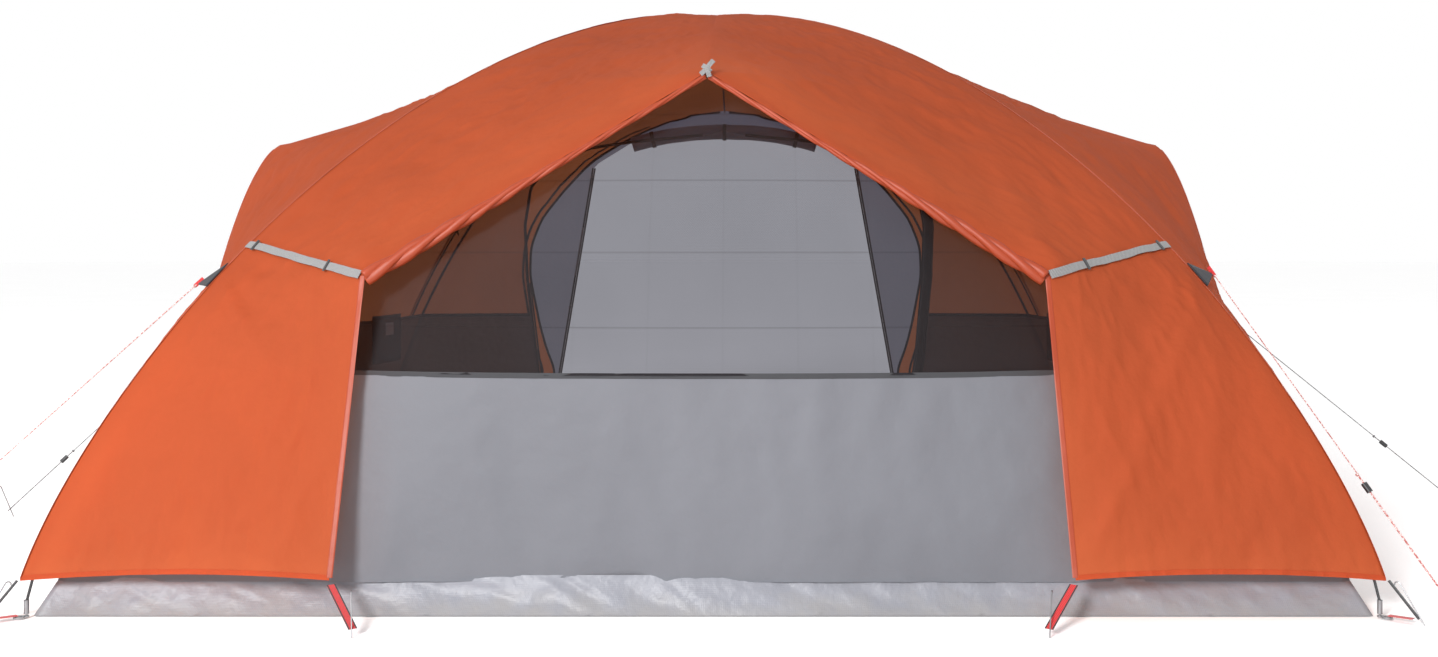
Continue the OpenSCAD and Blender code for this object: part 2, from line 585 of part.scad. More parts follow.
// Straight side of the inner door's zip, with its slider
INNER_ZIP_LOW = 250;
INNER_ZIP_HIGH = 960;
function inner_zip_at(z) =
    let (x = mix(1128, INNER_DOOR_HALF - 6, (z - INNER_ZIP_LOW) / (INNER_ZIP_HIGH - INNER_ZIP_LOW)))
    inner_face(1, z, -x / corner_of(INNER, z)[0]) - [0, 13.5, 0];
IZ_A = inner_zip_at(INNER_ZIP_LOW);
IZ_B = inner_zip_at(INNER_ZIP_HIGH);
module on_inner_zip(d) {
    s = unit(IZ_B - IZ_A);
    o = unit(cross([-1, 0, 0], s));
    a = cross(o, s);
    p = IZ_A + s * d;
    multmatrix([[a[0], o[0], s[0], p[0]], [a[1], o[1], s[1], p[1]], [a[2], o[2], s[2], p[2]], [0, 0, 0, 1]])
        children();
}
module inner_zip() {
    color(BLACK) on_inner_zip(0)
        translate([-ZIP_W / 2, -ZIP_T / 2, 0]) cube([ZIP_W, ZIP_T, norm(IZ_B - IZ_A)]);
}
INNER_SLIDER_AT = 80;
module inner_slider() { color(STEEL) on_inner_zip(INNER_SLIDER_AT) zip_slider(); }
module inner_pull() { color(BLACK) on_inner_zip(INNER_SLIDER_AT) zip_pull(); }

// Wall pockets near the back corners, open at the top
POCKET_L = 360;
POCKET_H = 260;
POCKET_D = 26;
POCKET_T = 2;
POCKET_Z = 530;
module pocket(sx) {
    a = flip(side_of(INNER, POCKET_Z + POCKET_H), sx, 1);
    b = flip(corner_of(INNER, POCKET_Z + POCKET_H), sx, 1);
    d = unit([b[0] - a[0], b[1] - a[1], 0]);
    inward = unit([-sx * d[1], sx * d[0], 0]);
    p = mix(a, b, 0.46) + inward * 30;
    gap = 0.4;
    color(MESH) multmatrix([[d[0], inward[0], 0, p[0]], [d[1], inward[1], 0, p[1]],
                            [0, 0, 1, POCKET_Z], [0, 0, 0, 1]])
        translate([-POCKET_L / 2, 0, 0]) {
            translate([0, POCKET_D - POCKET_T, 0]) cube([POCKET_L, POCKET_T, POCKET_H]);
            cube([POCKET_L, POCKET_D - POCKET_T - gap, POCKET_T]);
            for (x = [0, POCKET_L - POCKET_T]) translate([x, 0, POCKET_T + gap])
                cube([POCKET_T, POCKET_D - POCKET_T - gap, POCKET_H - POCKET_T - gap]);
        }
}
module pocket_left() { pocket(-1); }
module pocket_right() { pocket(1); }

// ---------- fixings ----------
// A strap of webbing between two points
module strap(a, b, w, t = 1.6) {
    side = unit(cross(b - a, [0, 0, 1]));
    sheet([for (q = [0, 0.5, 1]) [for (s = [-w / 2, w / 2]) mix(a, b, q) + s * side]], t);
}
CORNER_PEG = [2262, 2262, 0];
DOOR_PEG = [1060, 2395, 0];
module corner_straps() {
    color(RED) for (sx = [-1, 1], sy = [-1, 1])
        strap(flip([pole_half + 20, pole_half + 20, 13], sx, sy),
              flip(CORNER_PEG + [-24, -24, 16], sx, sy), 25);
}
module hem_straps() {
    color(BLACK) for (sx = [-1, 1], sy = [-1, 1])
        strap(flip([2184, 2184, hem_z - 6], sx, sy), flip(CORNER_PEG + [-32, -32, 53], sx, sy), 14);
}
module door_straps() {
    color(RED) for (sx = [-1, 1], sy = [-1, 1])
        strap(flip([DOOR_FOOT[0] - 6, -DOOR_FOOT[1] + 4, DOOR_FOOT[2] - 22], sx, sy),
              flip(DOOR_PEG + [4, -44, 57], sx, sy), 24);
}
// A steel hook peg that lies at a slant with its tip on the ground
HOOK_R = 9;
HOOK_TURN = 170;
module peg() {
    top = peg_len - HOOK_R;
    tube(concat([[0, 0, 0], [0, 0, top / 2]],
                [for (a = [0:17:HOOK_TURN]) [HOOK_R * (1 - cos(a)), 0, top + HOOK_R * sin(a)]]),
         peg_d / 2, [0, 1, 0]);
}
module leaning_peg(p, toward, lean) {
    // The tip is on the ground at p; the hook leans toward a bearing
    translate([p[0], p[1], peg_d / 2 * sin(lean) + 0.2]) rotate([0, 0, toward]) rotate([0, lean, 0]) peg();
}
PEG_LEAN = 32;
module ground_pegs() {
    color(STEEL) {
        for (sx = [-1, 1], sy = [-1, 1]) {
            leaning_peg(flip(CORNER_PEG, sx, sy), atan2(-sy, -sx), PEG_LEAN);
            leaning_peg(flip(DOOR_PEG, sx, sy), atan2(-sy, sx * 0.3), PEG_LEAN);
        }
    }
}

// Guylines: each leaves a tab on the flysheet, passes its runner and goes round its peg
GUY = [
    // tab end, peg end
    [[-1842, FRONT + 590, 1052], [-2960, FRONT + 500, 24]],
    [[1812, FRONT + 570, 1090], [2405, FRONT + 10, 24]],
    [[-2092, 0, 1098], [-3100, FRONT + 1680, 24]],
    [[2092, 0, 1098], [3290, FRONT + 1680, 24]]
];
RUNNER_AT = [0.72, 0.66, 0.80, 0.74];
DOUBLE_GAP = 6.4;
LINE_R = line_d / 2;
function guy_dir(i) = unit(GUY[i][1] - GUY[i][0]);
// Across the line and level, toward the front
function guy_side(i) = unit(cross(guy_dir(i), [0, 0, 1]));
// The line goes down, round the peg and back up through the runner
function guy_route(i) =
    let (a = GUY[i][0], b = GUY[i][1], d = guy_dir(i), s = guy_side(i), l = norm(b - a),
         k = RUNNER_AT[i] * l, turn = l - 22)
    concat([for (q = [0:1:9]) a + d * (turn - 24) * q / 9],
           [a + d * (turn - 10) - s * 1.6, a + d * (turn + 2) - s * 2.6,
            a + d * (turn + 12) + s * (DOUBLE_GAP / 2 - 4.4), a + d * (turn + 16) + s * DOUBLE_GAP / 2,
            a + d * (turn + 12) + s * (DOUBLE_GAP / 2 + 4.4), a + d * (turn + 2) + s * (DOUBLE_GAP + 2.6),
            a + d * (turn - 10) + s * (DOUBLE_GAP + 1.6), a + d * (turn - 24) + s * DOUBLE_GAP],
           [for (q = [1:1:5]) a + d * mix(turn - 24, k - 46, q / 5) + s * DOUBLE_GAP]);
module guyline(i) { color(RED) tube(guy_route(i), LINE_R, cross(guy_dir(i), guy_side(i))); }
module guyline_front_left() { guyline(0); }
module guyline_front_right() { guyline(1); }
module guyline_side_left() { guyline(2); }
module guyline_side_right() { guyline(3); }

// Runner: a flat bar with a hole for each leg of the line
RUNNER_BORE = LINE_R + 0.35;
module runner(i) {
    a = GUY[i][0];
    d = guy_dir(i);
    s = guy_side(i);
    n = cross(d, s);
    c = a + d * RUNNER_AT[i] * norm(GUY[i][1] - a) + s * DOUBLE_GAP / 2;
    color(BLACK) multmatrix([[s[0], n[0], -d[0], c[0]], [s[1], n[1], -d[1], c[1]],
                             [s[2], n[2], -d[2], c[2]], [0, 0, 0, 1]])
        difference() {
            union() {
                translate([-5, 0, 0]) cylinder(h = 34, r = 8.5, center = true, $fn = 32);
                translate([5, 0, 0]) cylinder(h = 34, r = 8.5, center = true, $fn = 32);
            }
            for (x = [-1, 1]) translate([x * DOUBLE_GAP / 2, 0, 0])
                cylinder(h = 40, r = RUNNER_BORE, center = true, $fn = 24);
        }
}
module runner_front_left() { runner(0); }
module runner_front_right() { runner(1); }
module runner_side_left() { runner(2); }
module runner_side_right() { runner(3); }
// The pegs that the guylines go round
module guy_pegs() {
    color(STEEL) for (i = [0:3]) {
        b = GUY[i][1] - guy_dir(i) * 17 + guy_side(i) * DOUBLE_GAP / 2;
        d = guy_dir(i);
        toward = atan2(d[1], d[0]);
        // The shaft passes through the loop: it stands across the line
        lean = 20;
        k = b[2] / cos(lean);
        translate([b[0] - k * sin(lean) * cos(toward), b[1] - k * sin(lean) * sin(toward), 0.8])
            rotate([0, 0, toward]) rotate([0, lean, 0]) peg();
    }
}

// Tabs on the flysheet that the guylines leave from
module guy_tab(i, root_lo, root_hi) {
    tip = GUY[i][0] - guy_dir(i) * 7;
    e = unit(root_hi - root_lo);
    sheet([for (q = [0, 0.5, 0.97]) [mix(root_lo, tip - e * 9, q), mix(root_hi, tip + e * 9, q)]], 1.6);
}
module guy_tabs() {
    color(MESH) {
        for (i = [0, 1]) {
            sx = i == 0 ? -1 : 1;
            lo = flip(corner_of(FLY, 1040), sx, -1);
            hi = flip(corner_of(FLY, 1150), sx, -1);
            guy_tab(i, lo + [sx * 16, -4, 0], hi + [sx * 16, -4, 0]);
        }
        for (i = [2, 3]) {
            sx = i == 2 ? -1 : 1;
            x = sx * (hoop_x(FLY, 1100) + 4);
            guy_tab(i, [x, -45, 1112], [x, 45, 1112]);
        }
    }
}

main_pole_a();
main_pole_b();
side_pole_left();
side_pole_right();
ridge_pole();
pole_ferrules();
pole_tips();
foot_rings();
pole_clips();
fly_front_leg_left();
fly_front_leg_right();
fly_front_roof();
fly_side_left();
fly_side_right();
fly_rear_left();
fly_rear_right();
fly_rear_roof();
fly_crown_patch();
rear_porch_panel();
rear_door_roll();
rear_door_ties();
rear_zips();
rear_slider_left();
rear_slider_right();
rear_pull_left();
rear_pull_right();
front_roll_left();
front_roll_right();
front_tape_left();
front_tape_right();
peak_tie();
guy_tabs();
groundsheet();
inner_wall_front();
inner_wall_left();
inner_wall_right();
inner_wall_rear();
mesh_front();
mesh_left();
mesh_right();
mesh_rear();
inner_door_roll();
inner_zip();
inner_slider();
inner_pull();
pocket_left();
pocket_right();
corner_straps();
hem_straps();
door_straps();
ground_pegs();
guyline_front_left();
guyline_front_right();
guyline_side_left();
guyline_side_right();
runner_front_left();
runner_front_right();
runner_side_left();
runner_side_right();
guy_pegs();
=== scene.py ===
# A pitched dome tent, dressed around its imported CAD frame. The cloth follows the same curves as the CAD
# model: two crossed poles that bend over the corners, a hoop on each side, and a ridge pole from front to
# back. Everything is in metres, +Z up, -Y the front.
import math

import bmesh
import bpy
import numpy as np
from mathutils import Matrix, Vector, noise


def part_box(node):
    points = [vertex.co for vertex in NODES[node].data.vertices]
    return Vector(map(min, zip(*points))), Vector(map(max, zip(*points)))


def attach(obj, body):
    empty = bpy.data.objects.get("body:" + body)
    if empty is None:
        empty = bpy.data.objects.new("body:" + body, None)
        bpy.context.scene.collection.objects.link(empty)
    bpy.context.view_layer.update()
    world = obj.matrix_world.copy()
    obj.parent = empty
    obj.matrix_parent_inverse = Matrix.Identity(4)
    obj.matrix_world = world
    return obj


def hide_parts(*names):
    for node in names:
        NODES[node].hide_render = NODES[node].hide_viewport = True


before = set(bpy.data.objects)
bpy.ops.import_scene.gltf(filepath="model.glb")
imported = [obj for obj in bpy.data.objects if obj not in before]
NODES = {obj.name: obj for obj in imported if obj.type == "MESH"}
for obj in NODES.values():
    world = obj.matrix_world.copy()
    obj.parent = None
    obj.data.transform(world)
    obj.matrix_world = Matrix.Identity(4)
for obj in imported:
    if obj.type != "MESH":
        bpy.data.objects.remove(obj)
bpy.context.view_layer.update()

# ---------------------------------------------------------------- driving dimensions
# Exponents of the corner poles' curve, the side hoops' and the ridge's
ARCH_A, ARCH_B = 1.8, 0.72
HOOP_N = 2
RIDGE_N = 1.4
# Heights: the fly's hem, where its front edge turns from leg to slope, the peak, the seam from cloth to
# net, and the tub's top
HEM_Z = 0.130
TAPE_Z = 1.190
EDGE_POLE_Z = 1.800
SEAM_Z = 0.765
TUB_H = 0.120
# The inner wall starts this far below the tub's top, since that hangs lower near its corners
WALL_OVERLAP = 0.020
# How far the hem of the fly's front panels is lifted in its middle
HEM_RISE = 0.020
# Half width of the tub at the ground and at its top
TUB_FOOT, TUB_TOP = 2.150, 2.090
PEAK = np.array([0.0, -1.735, 1.800])
SHOULDER = np.array([1.140, -1.985, 1.090])
DOOR_FOOT = np.array([1.175, -2.235, 0.145])
REAR_TOP = np.array([0.0, 1.655, 1.980])
REAR_FOOT_Y = 2.235
MIDDLE = np.array([0.0, 0.0, 0.7])
# Half width of the rear arch, of the rear doorway and of the inner door, by height
ARCH = [(0.130, 1.120), (0.400, 1.072), (0.550, 1.122), (0.700, 1.155), (1.000, 1.200), (1.180, 1.185),
        (1.350, 1.110), (1.520, 0.965), (1.690, 0.795), (1.820, 0.570), (1.920, 0.345), (1.965, 0.170),
        (1.980, 0.0)]
DOOR = [(0.130, 1.090), (1.660, 0.780), (1.850, 0.460)]
INNER_DOOR = [(0.150, 1.120), (0.500, 1.160), (1.000, 1.180), (1.300, 1.165), (1.520, 1.100),
              (1.660, 0.960), (1.740, 0.760), (1.800, 0.400), (1.825, 0.0)]
# How far the inner tent's front and back stand in from the footprint's edge, by height
FRONT_IN = [(0.150, 0.095), (0.765, 0.112), (1.200, 0.240), (1.500, 0.420), (1.730, 0.680), (1.880, 1.040),
            (2.010, 1.480), (2.180, 2.185)]
REAR_IN = [(0.150, 0.095), (1.660, 0.545), (1.860, 0.760), (1.960, 1.200), (2.060, 1.620), (2.180, 2.185)]
FOOTPRINT = 2.185
# Guylines: tab end, peg end, and where the runner sits along it
GUYS = {
    "front_left": ((-1.842, -1.595, 1.052), (-2.960, -1.685, 0.024), 0.72),
    "front_right": ((1.812, -1.615, 1.090), (2.405, -2.175, 0.024), 0.66),
    "side_left": ((-2.092, 0.0, 1.098), (-3.100, -0.505, 0.024), 0.80),
    "side_right": ((2.092, 0.0, 1.098), (3.290, -0.505, 0.024), 0.74),
}
LINE_D = 0.0036
# Between the centres of a guyline's two runs at the peg
LINE_GAP = 0.0064
# Keeps a division by a length of nothing harmless
TINY = 1e-12
# Key light: place, aim, size across and power
KEY_AT, KEY_AIM = (-4.4, -11.5, 5.0), (0, -1, 0.8)
KEY_SIZE, KEY_WATTS = 2.6, 1700
# Camera
EYE = (0.15, -6.685, 1.20)
LENS_MM = 35.37
SENSOR_MM = 36.0
SHIFT = (-0.0216, -0.0595)


# ---------------------------------------------------------------- curves
def mix(a, b, q):
    return a + (b - a) * q


def unit(v):
    v = np.asarray(v, float)
    return v / max(np.linalg.norm(v), TINY)


def smooth(x, low, high):
    t = np.clip((x - low) / (high - low), 0, 1)
    return t * t * (3 - 2 * t)


def curve_of(table, z):
    """Linear lookup of a table of (height, value)."""
    return np.interp(z, [p[0] for p in table], [p[1] for p in table])


def soft_curve_of(table, z, reach=0.045):
    """The same, with its corners rounded off."""
    return (curve_of(table, z - reach) + 2 * curve_of(table, z) + curve_of(table, z + reach)) / 4


class Shell:
    """A tent skin over two crossed poles and two side hoops. Heights may be arrays."""

    def __init__(self, half, top, foot_x, top_x, hoop_half, hoop_top):
        self.half, self.top = half, top
        self.foot_x, self.top_x = foot_x, top_x
        self.hoop_half, self.hoop_top = hoop_half, hoop_top

    def corner(self, z, sx=1, sy=1):
        u = self.half * np.maximum(0, 1 - (z / self.top) ** (1 / ARCH_B)) ** (1 / ARCH_A)
        return np.stack([sx * u, sy * u, z], -1)

    def side(self, z, sx=1, sy=1):
        low = z <= self.hoop_top
        x = np.where(low, mix(self.foot_x, self.top_x, z / self.hoop_top),
                     self.top_x * (1 - (z - self.hoop_top) / (self.top - self.hoop_top)))
        y = self.hoop_half * np.maximum(0, 1 - (z / self.hoop_top) ** HOOP_N) ** (1 / HOOP_N)
        return np.stack([sx * x, sy * np.where(low, y, 0), z], -1)


FLY = Shell(2.200, 2.268, 2.196, 2.025, 0.960, 1.672)
INNER = Shell(2.115, 2.180, 2.092, 1.930, 0.880, 1.590)


def rear_y(z):
    return mix(REAR_FOOT_Y, REAR_TOP[1], (z - HEM_Z) / (REAR_TOP[2] - HEM_Z))


def front_edge(z, sx=1):
    """The flysheet's free front edge at the row that starts at height z on the corner pole."""
    z = np.asarray(z, float)[..., None]
    leg = mix(DOOR_FOOT, SHOULDER, np.clip((z - HEM_Z) / (TAPE_Z - HEM_Z), 0, 1))
    slope = mix(SHOULDER, PEAK, np.clip((z - TAPE_Z) / (EDGE_POLE_Z - TAPE_Z), 0, 1))
    q = 1 - np.sqrt(np.clip(1 - (z - EDGE_POLE_Z) / (FLY.top - EDGE_POLE_Z), 0, 1))
    y = PEAK[1] * (1 - q)
    height = FLY.top - (FLY.top - PEAK[2]) * (y / PEAK[1]) ** RIDGE_N
    ridge = np.concatenate([0 * y, y, height], -1)
    edge = np.where(z <= TAPE_Z, leg, np.where(z <= EDGE_POLE_Z, slope, ridge))
    return edge * np.array([sx, 1, 1])


def rear_edge(z, sx=1):
    """The line that the back of the flysheet runs to: up the arch, then along the ridge."""
    x = soft_curve_of(ARCH, z) * (1 - smooth(z, 1.955, 1.980))
    over = np.clip((FLY.top - z) / (FLY.top - REAR_TOP[2]), 0, 1)
    y = np.where(z <= REAR_TOP[2], rear_y(z), REAR_TOP[1] * over ** (1 / RIDGE_N))
    return np.stack([sx * np.where(z <= REAR_TOP[2], x, 0), y, z], -1)


def inner_face(sy, z, s):
    """A point of the inner tent's front (-1) or back (1), s from -1 at its left corner to 1."""
    c = INNER.corner(z)[..., 0]
    mid = FOOTPRINT - curve_of(FRONT_IN if sy < 0 else REAR_IN, z)
    y = c + (mid - c) * (1 - np.abs(s) ** (2.2 if sy < 0 else 3))
    return np.stack([s * c, sy * y, z + 0 * s], -1)


# ---------------------------------------------------------------- mesh building
def finish_mesh(name, bm, material, smooth_faces=True):
    mesh = bpy.data.meshes.new(name)
    bm.to_mesh(mesh)
    bm.free()
    piece = bpy.data.objects.new(name, mesh)
    bpy.context.scene.collection.objects.link(piece)
    mesh.materials.append(material)
    if smooth_faces:
        mesh.polygons.foreach_set("use_smooth", [True] * len(mesh.polygons))
    mesh.update()
    return piece


def add_grid(bm, uv_layer, grid):
    """Adds a grid of points as quads, with UVs in metres along it."""
    count, cols = grid.shape[:2]
    across = np.concatenate([np.zeros((count, 1)),
                             np.cumsum(np.linalg.norm(np.diff(grid, axis=1), axis=2), axis=1)], 1)
    up = np.concatenate([[0], np.cumsum(np.linalg.norm(np.diff(grid, axis=0), axis=2).mean(1))])
    verts = [[bm.verts.new(grid[i, j]) for j in range(cols)] for i in range(count)]
    for i in range(count - 1):
        for j in range(cols - 1):
            face = bm.faces.new((verts[i][j], verts[i][j + 1], verts[i + 1][j + 1], verts[i + 1][j]))
            for loop, (r, c) in zip(face.loops, ((i, j), (i, j + 1), (i + 1, j + 1), (i + 1, j))):
                loop[uv_layer].uv = (across[r, c], up[r])


def cap_ends(bm, grid):
    for ring in (grid[0], grid[-1]):
        bm.faces.new([bm.verts.new(p) for p in ring[:-1]])


def directions(points):
    """The way a line runs at each of its points."""
    along = np.gradient(points, axis=0)
    return along / (np.linalg.norm(along, axis=1)[:, None] + TINY)


def cloth_from(name, grids, material, weld=0.0006):
    """One continuous sheet from grids that meet along shared edges."""
    bm = bmesh.new()
    uv_layer = bm.loops.layers.uv.new("metres")
    for grid in grids:
        add_grid(bm, uv_layer, grid)
    bmesh.ops.remove_doubles(bm, verts=bm.verts, dist=weld)
    bmesh.ops.dissolve_degenerate(bm, dist=0.0004, edges=bm.edges)
    loose = [v for v in bm.verts if not v.link_faces]
    bmesh.ops.delete(bm, geom=loose, context="VERTS")
    bmesh.ops.recalc_face_normals(bm, faces=bm.faces)
    return finish_mesh(name, bm, material)


def ribbon(name, lines, width, thick, material, lift=0.0):
    """Flat strips along lines. Each line is (points, normals), and the strip faces along the normals."""
    bm = bmesh.new()
    uv_layer = bm.loops.layers.uv.new("metres")
    section = [(-0.5, 0.0), (-0.5, 0.7), (-0.3, 1.0), (0.3, 1.0), (0.5, 0.7), (0.5, 0.0), (-0.5, 0.0)]
    for points, out in lines:
        points = np.asarray(points, float)
        out = np.broadcast_to(np.asarray(out, float), points.shape)
        along = directions(points)
        across = np.cross(along, out)
        across /= np.linalg.norm(across, axis=1)[:, None] + TINY
        normal = np.cross(across, along)
        grid = np.stack([points + across * (w * width) + normal * (h * thick + lift)
                         for w, h in section], 1)
        add_grid(bm, uv_layer, grid)
        cap_ends(bm, grid)
    bmesh.ops.remove_doubles(bm, verts=bm.verts, dist=0.00005)
    bmesh.ops.recalc_face_normals(bm, faces=bm.faces)
    return finish_mesh(name, bm, material, smooth_faces=False)


def tubes(name, routes, material, sides=12, wobble=None):
    """Round tubes along routes. Each route is (points, radii), and wobble makes the round uneven."""
    bm = bmesh.new()
    uv_layer = bm.loops.layers.uv.new("metres")
    for points, radii in routes:
        points = np.asarray(points, float)
        radii = np.broadcast_to(np.asarray(radii, float), len(points))
        along = directions(points)
        # Any direction the route does not start along
        side = unit(np.cross(along[0], [0.31, 0.22, 0.92]))
        rings = []
        for i, (p, t, r) in enumerate(zip(points, along, radii)):
            side = unit(side - t * np.dot(side, t))
            up = np.cross(t, side)
            turn = np.linspace(0, 2 * math.pi, sides + 1)
            size = np.full(sides + 1, r)
            if wobble is not None:
                size = r * (1 + wobble(i / max(1, len(points) - 1), turn))
                size[-1] = size[0]
            rings.append(p + np.outer(np.cos(turn) * size, side) + np.outer(np.sin(turn) * size, up))
        grid = np.stack(rings)
        add_grid(bm, uv_layer, grid)
        cap_ends(bm, grid)
    bmesh.ops.remove_doubles(bm, verts=bm.verts, dist=0.00005)
    bmesh.ops.recalc_face_normals(bm, faces=bm.faces)
    return finish_mesh(name, bm, material)


def loft(a, b, cols):
    t = np.linspace(0, 1, cols + 1)[None, :, None]
    return a[:, None, :] * (1 - t) + b[:, None, :] * t


def outward(grid):
    """Unit normals of a grid, away from the middle of the tent."""
    normal = np.cross(np.gradient(grid, axis=1), np.gradient(grid, axis=0))
    normal /= np.linalg.norm(normal, axis=2)[..., None] + TINY
    turn = np.sign(np.sum(normal * (grid - MIDDLE), axis=2))
    return normal * np.where(turn == 0, 1, turn)[..., None]


def field(points, scale, seed):
    """Smooth noise at each point, its features 1/scale metres long in x, y and z."""
    flat = (points * np.asarray(scale, float) + seed * 17.31).reshape(-1, 3)
    return np.array([noise.noise(Vector(p)) for p in flat]).reshape(points.shape[:-1])


def crease(points, a, b, height, width):
    """A fold that runs from a to b, highest along the line and fading at its ends.

    Distances along y count for less, so a panel that bulges away from the line still takes the fold.
    """
    a, b = np.asarray(a, float), np.asarray(b, float)
    weight = np.array([1.0, 0.3, 1.0])
    run = (b - a) * weight
    q = np.clip(np.sum((points - a) * weight * run, -1) / np.dot(run, run), 0, 1)
    away = np.linalg.norm((points - a) * weight - q[..., None] * run, axis=-1)
    fade = smooth(q, 0.0, 0.12) * (1 - smooth(q, 0.8, 1.0))
    return height * np.exp(-away / width) * (0.25 + 0.75 * fade)


def dress(grid, seed, sag, folds, fine, creases=()):
    """Lets a taut panel sag between its sides, which stay put, and gives it soft folds and fine wrinkles.

    sag is a share of its width; folds and fine are in metres.
    """
    width = np.linalg.norm(grid[:, -1] - grid[:, 0], axis=1)[:, None]
    u = np.linspace(0, 1, grid.shape[1])[None, :]
    arch = 4 * u * (1 - u)
    edge = np.clip(1.7 * arch, 0, 1) ** 0.8
    soft = field(grid, (1.6, 1.6, 0.8), seed)
    ridged = 0.5 - np.abs(field(grid, (5.5, 5.5, 2.0), seed + 3))
    small = 0.5 - np.abs(field(grid, (17, 17, 6.5), seed + 7))
    pulls = 0.5 - np.abs(field(grid + 0.05 * soft[..., None], (9, 9, 30), seed + 13))
    depth = folds * (soft + 0.8 * ridged) + fine * (small + 0.5 * pulls)
    for start, end, height, reach in creases:
        depth = depth + crease(grid, start, end, height, reach)
    depth = edge * depth - sag * width * arch
    # A panel narrower than this has less room to fold
    depth *= np.clip(width / 0.45, 0, 1)
    return grid + outward(grid) * depth[..., None]


def hem_pull(grid, rise):
    """Lifts a panel's bottom edge between its two held corners."""
    u = np.linspace(0, 1, grid.shape[1])[None, :]
    grid[..., 2] += rise * (4 * u * (1 - u)) * (1 - smooth(grid[..., 2], HEM_Z, HEM_Z + 0.5))
    return grid


def rows(low, high, count, ease=1.0, exact=()):
    """Heights from low to high, crowded towards the top, with the exact ones among them."""
    z = low + (high - low) * (1 - (1 - np.linspace(0, 1, count)) ** ease)
    for value in exact:
        z[np.argmin(np.abs(z - value))] = value
    return z


# ---------------------------------------------------------------- materials
class Nodes:
    """A short way to write a node material."""

    def __init__(self, name):
        self.material = bpy.data.materials.new(name)
        self.material.use_nodes = True
        self.tree = self.material.node_tree
        self.tree.nodes.clear()
        self.out = self.add("ShaderNodeOutputMaterial")

    def add(self, kind, **values):
        node = self.tree.nodes.new(kind)
        for key, value in values.items():
            if hasattr(node, key):
                setattr(node, key, value)
            else:
                node.inputs[key.replace("_", " ")].default_value = value
        return node

    def link(self, a, b):
        self.tree.links.new(a, b)

    def place(self, kind="Object"):
        if kind == "UV":
            return self.add("ShaderNodeUVMap", uv_map="metres").outputs["UV"]
        return self.add("ShaderNodeTexCoord").outputs[kind]

    def noise(self, where, scale, detail=3.0, stretch=(1, 1, 1)):
        mapping = self.add("ShaderNodeMapping", Scale=stretch)
        self.link(where, mapping.inputs["Vector"])
        tex = self.add("ShaderNodeTexNoise", Scale=scale, Detail=detail)
        self.link(mapping.outputs["Vector"], tex.inputs["Vector"])
        return tex.outputs["Fac"]

    def ramp(self, fac, stops):
        node = self.add("ShaderNodeValToRGB")
        elements = node.color_ramp.elements
        for element, (at, colour) in zip(elements, (stops[0], stops[-1])):
            element.position = at
            element.color = (*colour, 1)
        for at, colour in stops[1:-1]:
            extra = elements.new(at)
            extra.color = (*colour, 1)
        self.link(fac, node.inputs["Fac"])
        return node.outputs["Color"]

    def math(self, operation, a, b):
        node = self.add("ShaderNodeMath", operation=operation)
        for socket, value in zip(node.inputs, (a, b)):
            if isinstance(value, (int, float)):
                socket.default_value = value
            else:
                self.link(value, socket)
        return node.outputs[0]

    def surface(self, shader):
        """Makes a shader the material's surface and gives back the material."""
        self.link(shader.outputs[0], self.out.inputs[0])
        return self.material

    def weave(self, where, pitch):
        """Threads that cross at right angles, about two pitches apart."""
        waves = []
        for axis in ("X", "Y"):
            wave = self.add("ShaderNodeTexWave", wave_type="BANDS", bands_direction=axis,
                            Scale=1 / (pitch * 6.2832))
            self.link(where, wave.inputs["Vector"])
            waves.append(wave.outputs["Fac"])
        return self.math("MULTIPLY", waves[0], waves[1])

    def bump(self, height, strength, distance, base=None):
        node = self.add("ShaderNodeBump", Strength=strength, Distance=distance)
        self.link(height, node.inputs["Height"])
        if base is not None:
            self.link(base, node.inputs["Normal"])
        return node.outputs["Normal"]


# Dried mud on the groundsheet
MUD = (0.30, 0.27, 0.22, 1)


def shade(colour, k):
    return tuple(min(1.0, c * k) for c in colour)


